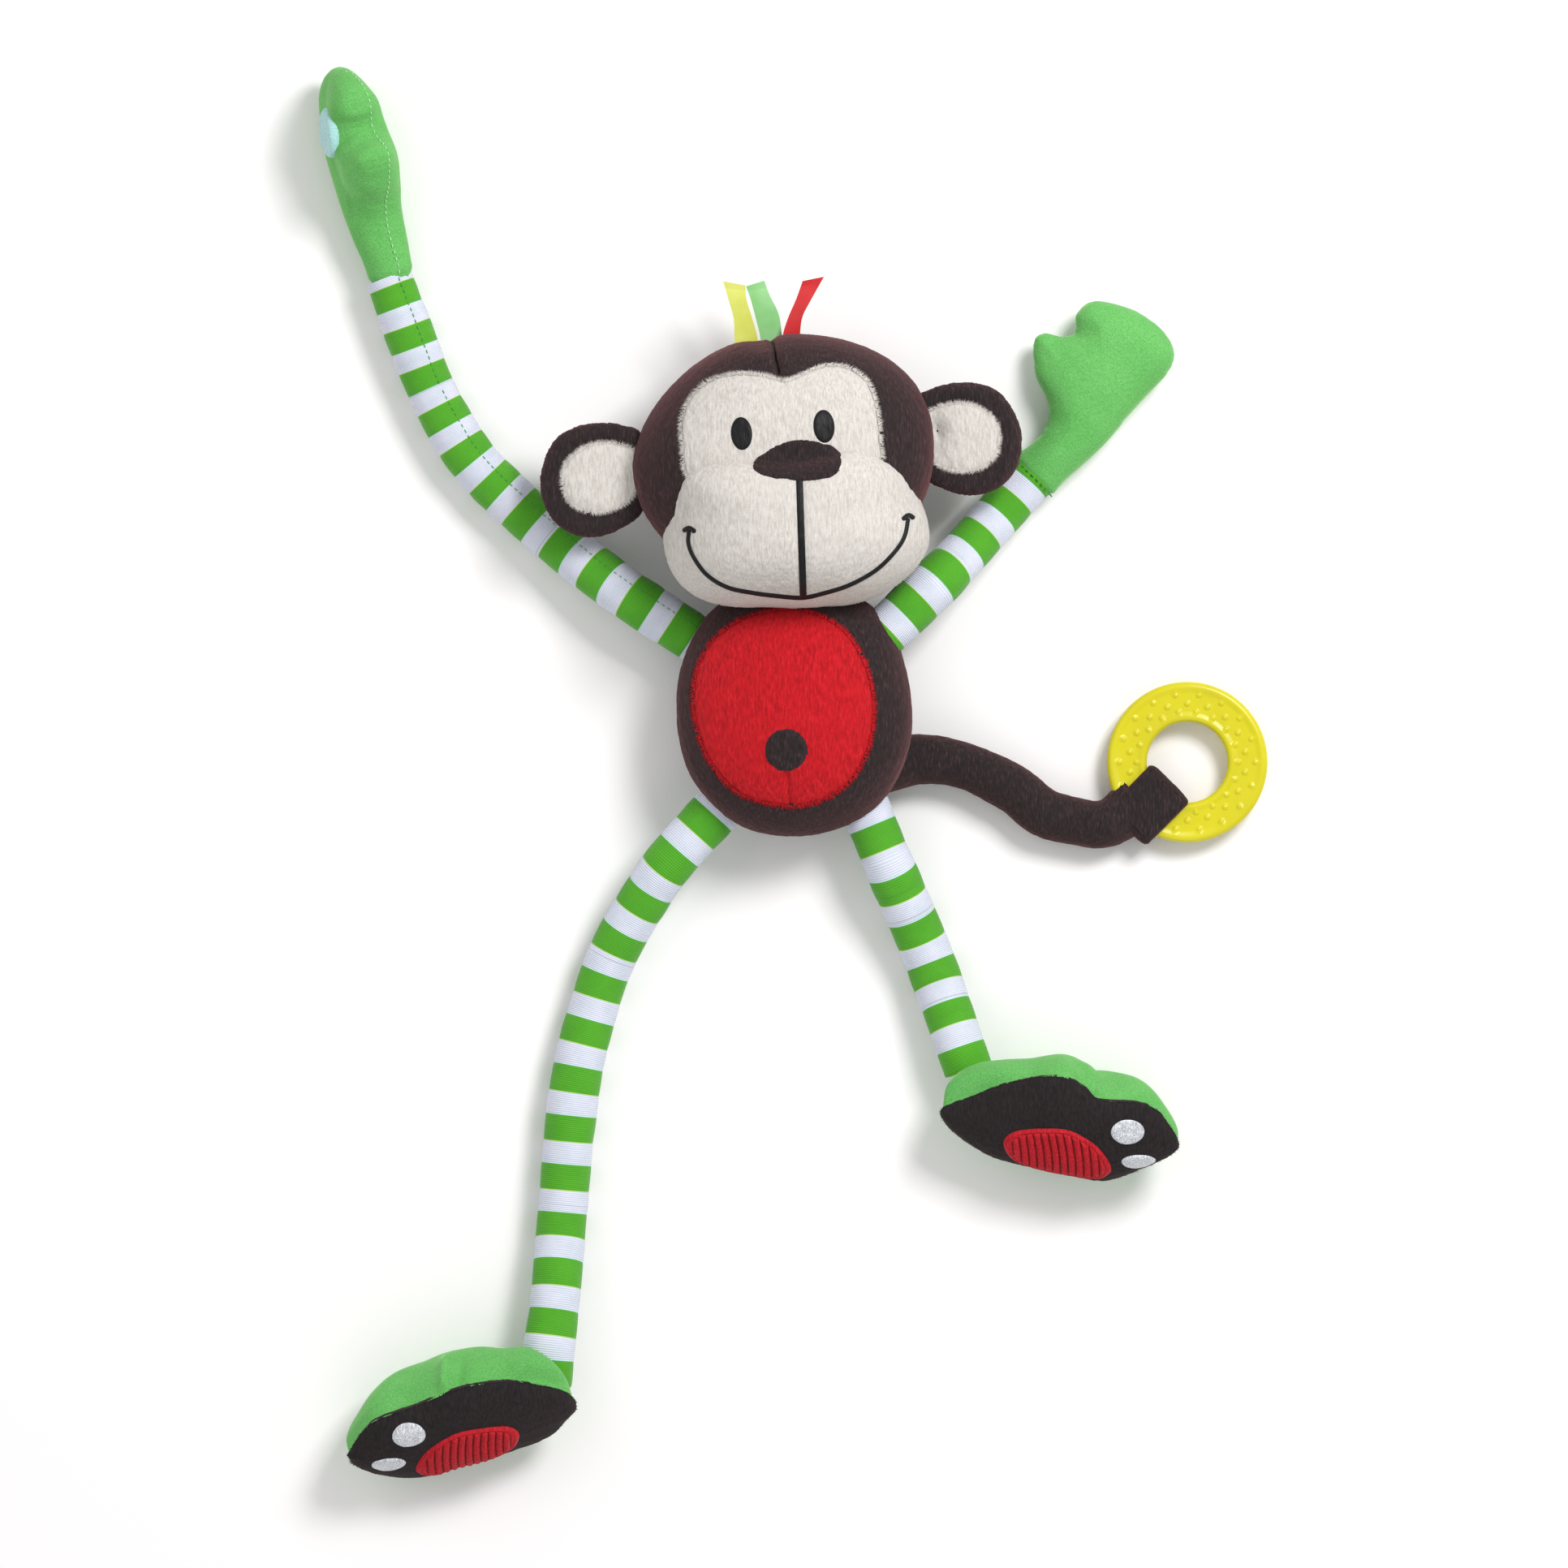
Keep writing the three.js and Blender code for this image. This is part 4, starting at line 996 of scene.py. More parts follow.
def ear(side, sign):
    """A stuffed ear in the head's frame, with a lining sewn into its hollow. sign is 1 for the toy's own left."""
    drop, inward = (0.0, 0.0) if sign > 0 else (5.0, 1.2)

    def turned(outline):
        return [(sign * (x - inward), y - drop) for x, y in outline]

    centre = (sign * (80 - inward), 0.5 - drop)
    edge = Star(turned(EAR_OUTLINE), centre)
    inner = Star(turned(LINING_OUTLINE), centre)

    def front(x, y, share):
        root = 1.6 * np.exp(-(((np.abs(x) - 66) / 9) ** 2)) * (1 - share**4)
        hollow = 1.8 * smoothstep(-share, -0.86, -0.62)
        return EAR_HALF_DEPTH * (1 - share**3.2) ** 0.5 - root - hollow

    points, faces = dome(edge, 70, 300, front, lambda x, y: back(x, y, edge), jag=0.15)
    points[:, 2] += 0.3 * fluff(points, 12, 41 + sign)
    points = nap(points, faces, 0.13, 42 + sign)
    shell = Skin(points, faces)
    plush = make_object(f"ear_{side}_plush", head_place(carve(points, inner, 0.5, 1.6)), faces, BROWN)
    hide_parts(f"ear_{side}_back")
    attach(plush, f"ear_{side}")
    fur(plush, BROWN, 1.4, (sign * 0.7, -0.6, 0.1), 43 + sign)

    def lining_base(x, y):
        dimple = np.exp(-((np.abs(x) - 67) ** 2 / 9 + (y - 4.5 + drop) ** 2 / 22))
        return shell.height(x, y) - (2.4 * dimple if sign > 0 else 0.4 * dimple)

    points, faces = patch(turned(LINING_OUTLINE), centre, lining_base, 0.9, rows=44, cols=260, jag=0.25, seed=45)
    points = nap(points, faces, 0.15, 46, grain=1.4)
    lining = make_object(f"ear_{side}_cream_lining", head_place(points), faces, CREAM)
    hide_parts(f"ear_{side}_lining")
    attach(lining, f"ear_{side}")
    fur(lining, CREAM, 1.9, (sign * 0.8, -0.5, 0.1), 47 + sign)
    edge_pile = fringe(inner, shell.height, 0.5, 1.6, CREAM, f"ear_{side}_edge_pile", 800, head_place, 48 + sign)
    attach(edge_pile, f"ear_{side}")


def back(x, y, edge):
    """Height of an ear's back."""
    share = np.clip(edge.share(x, y), 0, 1)
    return -EAR_HALF_DEPTH * (1 - share**3.2) ** 0.5


# ---------------------------------------------------------------- ribbons


RIBBON_EDGES = {
    "yellow": [(-5.4, -6, 4.6, -6), (-5.2, 0, 4.6, 0), (-5.6, 9, 2.2, 9), (-7.8, 17, -0.2, 17), (-10, 24.4, -0.6, 22.6)],
    "green": [(-4.6, -6, 4.8, -6), (-4.5, 0, 4.5, 0.6), (-6.6, 9, 3.2, 10), (-8.8, 17, -0.6, 18), (-10.6, 21.8, -2.9, 24.2)],
    "red": [(-4.4, -6, 2.8, -6), (-4.3, 0, 3, 1), (-1.9, 7.6, 3.9, 7.4), (1.2, 14.8, 6.6, 13), (4, 22.6, 13, 24.4)],
}
RIBBON_BASES = {"yellow": (-20.0, 159.0), "green": (-9.8, 159.7), "red": (-0.6, 161.0)}


def ribbon(colour, lift):
    """A satin loop: one strip up the front, over the fold and down the back."""
    thick = 0.35
    rows = spline(np.array(RIBBON_EDGES[colour]), step=0.8)
    base = np.array([*RIBBON_BASES[colour], pivot(f"ribbon_{colour}_flex")[2] + lift])
    share = np.linspace(0, 1, len(rows))
    gap = 0.3 + 1.5 * np.sin(math.pi * np.minimum(share * 1.1, 1)) ** 0.8
    strip = []
    for face in (1, -1):
        order = range(len(rows)) if face > 0 else reversed(range(len(rows)))
        for i in order:
            left, right = rows[i][:2], rows[i][2:]
            z = face * gap[i] + 1.6 * share[i] ** 2
            twist = 0.8 * math.sin(share[i] * 2.4)
            ends = [base + np.array([*left, z - twist]), base + np.array([*right, z + twist])]
            out = UP * thick / 2 * face
            strip.append([ends[0] - out, ends[1] - out, ends[1] + out, ends[0] + out])
    points, faces = rings_to_mesh(np.array(strip))
    piece = make_object(f"ribbon_{colour}_satin", points, faces, RIBBONS[colour], smooth=False)
    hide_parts(f"ribbon_{colour}")
    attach(piece, f"ribbon_{colour}")


# ---------------------------------------------------------------- sleeves

SLEEVE_R = 10.35
LIMBS = {
    "arm_right": {
        "nodes": ["arm_right_sleeve_root", "arm_right_sleeve_upper", "arm_right_sleeve_lower"],
        "bends": ["arm_right_shoulder_bend", "arm_right_elbow_bend", "arm_right_wrist_lift"],
        "bodies": ["arm_right_root", "arm_right_upper", "arm_right_lower", "hand_right"],
        "bands": [(2.5, 0.46), (111.2, 6.46), (193.5, 10.46)], "pull": "arm_right_pull",
        "reach": 1.4, "rise": 0.0, "lift": 0.0, "narrowing": 0.6, "seam": True,
    },
    "arm_left": {
        "nodes": ["arm_left_sleeve_root", "arm_left_sleeve_lower"],
        "bends": ["arm_left_elbow_bend", "arm_left_wrist_lift"],
        "bodies": ["arm_left_root", "arm_left_lower", "hand_left"],
        "bands": [(11.5, 0.46), (51.2, 2.46), (89.7, 4.46)], "pull": "arm_left_pull",
        "reach": 1.4, "rise": 10.0, "lift": 0.0, "narrowing": 0.0, "seam": False,
    },
    "leg_right": {
        "nodes": ["leg_right_sleeve_root", "leg_right_sleeve_upper", "leg_right_sleeve_lower"],
        "bends": ["leg_right_hip_bend", "leg_right_knee_lift", "leg_right_ankle_turn"],
        "bodies": ["leg_right_root", "leg_right_upper", "leg_right_lower", "foot_right"],
        "bands": [(4.6, 0), (231.7, 11)], "pull": "leg_right_pull",
        "reach": 13.0, "rise": 0.0, "lift": 4.5, "narrowing": 0.0, "seam": False,
    },
    "leg_left": {
        "nodes": ["leg_left_sleeve_root", "leg_left_sleeve_upper", "leg_left_sleeve_lower"],
        "bends": ["leg_left_hip_bend", "leg_left_knee_lift", "leg_left_ankle_turn"],
        "bodies": ["leg_left_root", "leg_left_upper", "leg_left_lower", "foot_left"],
        "bands": [(9.4, 0), (47.7, 2), (111.9, 5)], "pull": "leg_left_pull",
        "reach": 8.0, "rise": 0.0, "lift": 1.5, "narrowing": 0.0, "seam": False,
    },
}
CUFF_REACH = 12.4  # mm from the last bend to the cuff


def smoothed(path, half):
    """A path with its kinks averaged out over some steps each way; its ends stay."""
    before = 2 * path[0] - path[half:0:-1]
    after = 2 * path[-1] - path[-2 : -half - 2 : -1]
    padded = np.concatenate([before, path, after])
    weight = np.ones(2 * half + 1) / (2 * half + 1)
    return np.stack([np.convolve(padded[:, k], weight, "valid") for k in range(3)], axis=1)


def lengths_along(path):
    return np.concatenate([[0], np.cumsum(np.linalg.norm(np.diff(path, axis=0), axis=1))])


def middle_line(node, start, end, count=6):
    """Points along the middle of a tube-like CAD node between two places."""
    points, edges = node_points(node)
    direction = unit(end - start)
    level = (points - start) @ direction
    span = (end - start) @ direction
    out = []
    for share in np.linspace(0.15, 0.85, count):
        cut = share * span
        a, b = level[edges[:, 0]], level[edges[:, 1]]
        cross = (a - cut) * (b - cut) < 0
        t = ((cut - a[cross]) / (b[cross] - a[cross]))[:, None]
        hits = points[edges[cross, 0]] * (1 - t) + points[edges[cross, 1]] * t
        out.append((hits.min(0) + hits.max(0)) / 2)
    return out


def limb_path(limb):
    """The sleeve's middle line from inside the torso into the hand or foot, with the length at each bend."""
    pivots = [pivot(name) for name in limb["bends"]]
    slide = axis(limb["pull"])
    points, _ = node_points(limb["nodes"][0])
    inner = pivots[0] - slide * np.max((pivots[0] - points) @ slide)
    controls = [inner, pivots[0]]
    for i, node in enumerate(limb["nodes"][1:]):
        controls += middle_line(node, pivots[i], pivots[i + 1], 3)
        controls.append(pivots[i + 1])
    ahead = controls[-1] - controls[-3]
    ahead[2] = 0
    controls.append(controls[-1] + unit(ahead) * (CUFF_REACH + limb["reach"]))
    path = smoothed(spline(controls, step=RIB / 2), 16)
    length = lengths_along(path)
    at = [length[np.argmin(np.linalg.norm(path - p, axis=1))] for p in pivots]
    over_foot = smoothstep(length, at[-1] - 55, at[-1] - 15)
    path[:, 2] += limb["rise"] * (1 - length / length[-1]) + limb["lift"] * over_foot
    return path, length, at


def band_pairs(limb, length, at_cuff):
    """How many white and green pairs lie between each place on the sleeve and its cuff."""
    mm, pairs = np.array(limb["bands"]).T
    slope = np.diff(pairs) / np.diff(mm)
    away = at_cuff - length
    beyond = slope[0] * np.minimum(away - mm[0], 0) + slope[-1] * np.maximum(away - mm[-1], 0)
    return np.interp(away, mm, pairs) + beyond


def sleeve_rings(path, length, limb, pairs, cols):
    """Rings of the knit tube: fine ribs, a slight swell in each stripe and a soft unevenness."""
    phase = pairs % 1
    within = np.where(phase < WHITE_SHARE, phase / WHITE_SHARE, (phase - WHITE_SHARE) / (1 - WHITE_SHARE))
    swell = 0.22 * np.sin(math.pi * within) ** 0.5
    narrow = limb["narrowing"] * smoothstep(length, length[-1] - 24, length[-1] - 4)
    if limb["lift"]:
        narrow = SLEEVE_R * (1 - np.sqrt(1 - np.clip((length - length[-1]) / 8 + 1, 0, 0.95) ** 2))
    rib = 0.05 * np.where(np.arange(len(path)) % 2, 1, -1)
    uneven = 0.2 * fluff(path, 30, 51) + 0.1 * fluff(path, 9, 52)
    rings = tube(path, SLEEVE_R - narrow + swell + rib + uneven, cols)
    flat = rings.reshape(-1, 3)
    wrinkle = 0.12 * fluff(flat, 7, 53)
    centre = np.repeat(path, cols, axis=0)
    out = (flat - centre) / np.linalg.norm(flat - centre, axis=1)[:, None]
    return (flat + out * wrinkle[:, None]).reshape(rings.shape)


SEAM_TURN = math.radians(66)  # where the seam runs, from the tube's side towards its top


def sleeve(name, limb, path, length, at):
    """One knit tube in as many pieces as it has bends, each split half way between two bends."""
    cols = 44
    pairs = band_pairs(limb, length, at[-1] + CUFF_REACH)
    rings = sleeve_rings(path, length, limb, pairs, cols)
    splits = [0.0] + [(a + b) / 2 for a, b in zip(at, at[1:])] + [length[-1] + 1]
    _, side, over = frames_along(path)
    seam_out = math.cos(SEAM_TURN) * side + math.sin(SEAM_TURN) * over
    made = []
    for i, bend in enumerate(limb["bends"]):
        inside = np.where((length >= splits[i] - 1e-6) & (length <= splits[i + 1] + RIB / 2))[0]
        first, last = inside[0], inside[-1] + 1
        points, faces = rings_to_mesh(rings[first:last])
        angle = np.tile(np.linspace(0, 2 * math.pi, cols, endpoint=False), last - first)
        attributes = {
            "pairs": np.concatenate([np.repeat(pairs[first:last], cols), [pairs[first], pairs[last - 1]]]),
            "around": np.concatenate([angle, [0, 0]]),
        }
        made.append([make_object(f"{name}_knit_{i + 1}", points, faces, KNIT, attributes=attributes)])
        if limb["seam"]:
            radius = np.linalg.norm(rings[:, 0] - path, axis=1)[:, None] + 0.15
            line = (path + seam_out * radius)[first:last]
            seam = stitches(line, seam_out[first:last], 1.7, 1.1, 0.2, f"{name}_seam_{i + 1}", SEAM_THREAD)
            made[-1].append(seam)
        for piece in made[-1]:
            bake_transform(piece)
    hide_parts(*limb["nodes"])


# ---------------------------------------------------------------- hands

HAND_OUTLINE = [
    (-4, 10.3), (15.7, 11.4), (26.6, 17.4), (33, 27.5), (42.5, 37.4), (48.8, 37.2), (53.5, 31), (58.6, 28.2),
    (64.5, 33), (72, 33), (78, 27), (83, 16), (83.8, 2), (79.5, -6.5), (70, -9.8), (54, -10.2), (40, -11.3), (27, -12),
    (12, -11.2), (-4, -10.3),
]
HANDS = {
    "right": {
        "stretch": 1.105, "squeeze": 0.07, "crease": 2.6, "spread": 0.0,
        "thick": [(-4, 9.8), (10, 10.1), (30, 11.6), (50, 12.2), (62, 11.3), (73, 9.6), (84, 7.2)],
        "bow": 1.2, "curl": 0.2, "thin": 0.1,
    },
    "left": {
        "stretch": 1.0, "squeeze": 0.0, "crease": 0.7, "spread": 3.6,
        "thick": [(-4, 10.4), (20, 11.0), (45, 12.3), (84, 12.0)], "bow": 0.0, "curl": 0.0, "thin": 0.4,
    },
}


def hand_axes(side):
    """The hand's along, thumb and back directions."""
    lift = axis(f"arm_{side}_wrist_lift")
    points, _ = node_points(f"hand_{side}")
    ahead = np.cross(UP, lift)
    if (points.mean(0) - pivot(f"arm_{side}_wrist_lift")) @ ahead < 0:
        ahead = -ahead
    palm, _ = node_points(f"palm_patch_{side}")
    away = palm.mean(0) - points.mean(0)
    away -= ahead * (away @ ahead)
    spread = np.linalg.svd(palm - palm.mean(0))[2][2]
    down = spread if spread @ away > 0 else -spread
    down = unit(down - ahead * (down @ ahead))
    back = -down
    return ahead, np.cross(back, ahead), back


def inside_out(outline, points):
    """Signed distance from each point to a closed outline: positive inside."""
    a = outline
    b = np.roll(outline, -1, axis=0)
    ab = b - a
    ap = points[:, None, :] - a[None]
    t = np.clip((ap * ab[None]).sum(2) / (ab * ab).sum(1)[None], 0, 1)
    gap = np.linalg.norm(ap - t[..., None] * ab[None], axis=2).min(1)
    x, y = points[:, 0:1], points[:, 1:2]
    straddle = (a[None, :, 1] > y) != (b[None, :, 1] > y)
    slope = (b[:, 0] - a[:, 0]) / np.where(b[:, 1] == a[:, 1], 1e-9, b[:, 1] - a[:, 1])
    hit = x < slope[None] * (y - a[None, :, 1]) + a[None, :, 0]
    inside = (straddle & hit).sum(1) % 2 == 1
    return np.where(inside, gap, -gap)


def cushion(outline, step, depth_at):
    """Two sheets cut to one outline, sewn at the edge and stuffed. depth_at(points, distance) is half the thickness."""
    rim = spline(outline, closed=True, step=step)
    low, high = rim.min(0), rim.max(0)
    xs = np.arange(low[0] + step / 2, high[0], step)
    ys = np.arange(low[1] + step / 2, high[1], step * 0.87)
    grid = np.array([(x + (j % 2) * step / 2, y) for j, y in enumerate(ys) for x in xs])
    grid = grid[inside_out(rim, grid) > step * 0.6]
    flat = [Vector(p) for p in np.concatenate([rim, grid])]
    edges = [(i, (i + 1) % len(rim)) for i in range(len(rim))]
    points, _, triangles, *_ = delaunay_2d_cdt(flat, edges, [], 1, 1e-6)
    points = np.array([p[:] for p in points])
    distance = np.maximum(inside_out(rim, points), 0)
    on_rim = distance < 1e-4
    depth = depth_at(points, distance)
    depth[on_rim] = 0
    top = np.column_stack([points, depth])
    lower_id = np.arange(len(points))
    free = np.where(~on_rim)[0]
    lower_id[free] = len(points) + np.arange(len(free))
    bottom = np.column_stack([points[free], -depth[free]])
    faces = [tuple(f) for f in triangles]
    faces += [tuple(int(lower_id[v]) for v in reversed(f)) for f in triangles]
    return np.concatenate([top, bottom]), faces


def hand_depth(side):
    """Half the stuffed hand's thickness. The cuff end stays open-ended; the thumb is thinner and creased off."""
    open_rim = spline([(x if x > 0 else -18, y) for x, y in HAND_OUTLINE], closed=True, step=1.5)
    along, thick = spline(HANDS[side]["thick"], step=1.0).T

    def depth(points, distance):
        x, y = points.T
        gap = np.maximum(inside_out(open_rim, points), 0)
        reach = 10.6 + 3.0 * smoothstep(x, 14, 40)
        full = np.interp(x, along, thick)
        full *= 1 - HANDS[side]["thin"] * smoothstep(y, 17, 30) * np.exp(-(((x - 44) / 11) ** 2))
        share = np.clip(gap / reach, 0, 1)
        t = np.clip((29 - y) / 15, 0, 1)
        crease = HANDS[side]["crease"] * np.exp(-(((x - 57.5 + 5 * t) / 2.2) ** 2)) * smoothstep(y, 17, 26)
        return np.maximum(full * np.sqrt(np.clip(1 - (1 - share) ** 2, 0, 1)) - crease * share**0.5, 0.2)

    return depth


def stuff(points, faces, cap):
    """Lets a sewn cushion swell under stuffing pressure, moving no point further than the cap."""
    mesh = bpy.data.meshes.new("stuffing")
    mesh.from_pydata((points * MM).tolist(), [], faces)
    mesh.update()
    trial = bpy.data.objects.new("stuffing", mesh)
    bpy.context.scene.collection.objects.link(trial)
    cloth = trial.modifiers.new("cloth", "CLOTH")
    cloth.settings.use_pressure = True
    cloth.settings.uniform_pressure_force = 4.0
    cloth.settings.mass = 0.15
    cloth.settings.tension_stiffness = 25
    cloth.settings.compression_stiffness = 12
    cloth.settings.bending_stiffness = 0.2
    cloth.settings.effector_weights.gravity = 0
    scene = bpy.context.scene
    for number in range(1, 21):
        scene.frame_set(number)
    solved = trial.evaluated_get(bpy.context.evaluated_depsgraph_get())
    co = np.zeros(len(points) * 3, np.float32)
    solved.data.vertices.foreach_get("co", co)
    moved = co.reshape(-1, 3).astype(float) / MM - points
    scene.frame_set(1)
    bpy.data.objects.remove(trial)
    bpy.data.meshes.remove(mesh)
    far = np.linalg.norm(moved, axis=1)
    keep = np.minimum(1, cap / np.maximum(far, 1e-9))
    return points + moved * keep[:, None]


def stitches(path, ups, length, gap, radius, name, material):
    """A run of short stitches along a path, each a small bowed thread. ups is the way out of the cloth."""
    total = lengths_along(path)
    points, faces = [], []
    at = 0.5
    while at + length < total[-1]:
        t = np.linspace(at, at + length, 6)
        line = np.stack([np.interp(t, total, path[:, k]) for k in range(3)], axis=1)
        up = unit([np.interp(at, total, ups[:, k]) for k in range(3)])
        line = line + up * (np.sin(np.linspace(0, math.pi, 6)) * 0.35 - 0.1)[:, None]
        ring_points, ring_faces = rings_to_mesh(tube(line, radius * np.array([0.5, 1, 1, 1, 1, 0.5]), 6))
        faces += [tuple(i + len(points) for i in f) for f in ring_faces]
        points += ring_points.tolist()
        at += length + gap
    return make_object(name, np.array(points), faces, material)


def hand(side):
    ahead, thumb, back = hand_axes(side)
    cuff = pivot(f"arm_{side}_wrist_lift") + ahead * CUFF_REACH
    make = HANDS[side]
    points, faces = cushion(HAND_OUTLINE, 1.5, hand_depth(side))
    points = stuff(points, faces, 0.9)
    neck = 0.15 * smoothstep(-points[:, 0], -3.0, -0.2)
    points[:, 1:] *= (1 - neck - make["squeeze"] * smoothstep(-points[:, 0], -20, 0))[:, None]
    points[:, 2] -= make["bow"] * smoothstep(points[:, 0], 8, 56) + make["curl"] * np.maximum(points[:, 1] - 11, 0)
    outer = smoothstep(points[:, 1], 10, 28)
    points[:, 0] = points[:, 0] * make["stretch"] - 0.45 * make["spread"] * outer
    points[:, 1] += make["spread"] * outer
    points = points + normals_of(points, faces) * (0.3 * fluff(points, 14, 62))[:, None]
    piece = make_object(f"hand_{side}_velour", place(points, cuff, ahead, thumb, back), faces, GREEN)
    smooth_skin(piece, 1)
    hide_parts(f"hand_{side}")
    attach(piece, f"hand_{side}")

    palm_side = points * [1, -1, -1]
    palm_points, _ = node_points(f"palm_patch_{side}")
    local = (palm_points - cuff) @ np.array([ahead, -thumb, -back]).T
    middle = ((local.min(0) + local.max(0)) / 2)[:2] * [make["stretch"], 1]
    skin = Skin(palm_side, faces)
    disc = oval(middle, (10.7, 10.7))
    bed = base_under(np.array(spread_over(oval(middle, (8, 8)), middle, 1.5)), skin.height)
    disc_points, disc_faces = patch(disc, middle, bed, 1.9, rows=30, cols=110, round_power=14, sink=2.0)
    disc_points = nap(disc_points, disc_faces, 0.1, 63, grain=0.8, stretch=1.0)
    disc = make_object(
        f"palm_{side}_loop_patch", place(disc_points, cuff, ahead, -thumb, -back), disc_faces, PALM
    )
    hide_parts(f"palm_patch_{side}")
    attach(disc, f"hand_{side}")

    if side == "right":
        edge_on = Skin(points[:, [0, 2, 1]], faces)
        x = np.linspace(1, 84 * make["stretch"], 160)
        spots, facings = edge_on.sound(x, np.zeros_like(x))
        line = smoothed(place(spots[:, [0, 2, 1]], cuff, ahead, thumb, back), 2)
        ups = facings[:, [0, 2, 1]] @ np.array([ahead, thumb, back])
        seam = stitches(line, ups, 1.7, 1.2, 0.24, "hand_right_seam", HAND_THREAD)
        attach(seam, "hand_right")
    else:
        turn = np.linspace(0, 2 * math.pi, 60)
        out = np.cos(turn)[:, None] * thumb + np.sin(turn)[:, None] * back
        line = cuff + ahead * 0.9 + out * 10.85
        ring = stitches(line, out, 1.6, 1.3, 0.25, "hand_left_cuff_seam", CUFF_THREAD)
        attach(ring, "hand_left")


def smooth_skin(piece, levels):
    modifier = piece.modifiers.new("subdivision", "SUBSURF")
    modifier.levels = levels
    modifier.render_levels = levels


# ---------------------------------------------------------------- feet


def foot_axes(side):
    """The CAD sole's points, then the foot's toe, across and sole directions found from them."""
    sole, _ = node_points(f"foot_{side}_sole")
    upper, _ = node_points(f"foot_{side}_upper")
    _, _, directions = np.linalg.svd(sole - sole.mean(0), full_matrices=False)
    toe, _, down = directions
    ankle = pivot(f"leg_{side}_ankle_turn")
    toe = toe if (sole.mean(0) - ankle) @ toe > 0 else -toe
    down = down if down[2] > 0 else -down
    across = np.cross(down, toe)
    return sole, toe, across, down


FEET = {
    "right": {
        "flip": 1, "depth": 34.5, "pinch": (2.0, 4.2, 1.5), "heel": (8.0, 22, 38),
        "dots": [((21.5, -12), (7.2, 5.9)), ((33.5, 3.4), (7.4, 4.9))],
        "outline": [
            (48.4, -2.8), (35.6, -17.6), (15.3, -21), (2.2, -23.8), (-10.6, -24.4), (-28.1, -19.3), (-45.6, -5.8),
            (-49, 6.5), (-43.9, 12.5), (-35.9, 19.6), (-21.3, 22.5), (7, 22.7), (21.3, 24.5), (30.7, 21.6),
            (40.9, 14.5), (47.9, 6.2), (49, 0.9),
        ],
    },
    "left": {
        "flip": -1, "depth": 35.5, "pinch": (13.5, 2.8, 1.8), "heel": (8.5, 14, 42),
        "dots": [((28.3, -9), (7.2, 5.9)), ((34.4, 6.3), (7.3, 4.6))],
        "outline": [
            (-50.3, -3.5), (-38.2, -12), (-25.6, -20.6), (-8.6, -27.4), (1.1, -27.6), (8.5, -24), (14.8, -18.6),
            (30, -19.8), (38.6, -18), (45, -10.8), (50, -2.1), (49, 3.5), (39.7, 11.6), (23, 22.3), (7.9, 22.6),
            (-8.9, 20.8), (-27.3, 17.8), (-40.7, 10.8), (-48.8, 3.4),
        ],
    },
}
RIB_PAD = [
    (-23, 4), (-19, -3), (-8, -6.5), (3, -7.6), (14, -2.5), (21, 5), (23.5, 13), (19, 18.6), (6, 19.2), (-7, 17.8),
    (-18.5, 13.5),
]
RIB_PITCH = 3.3


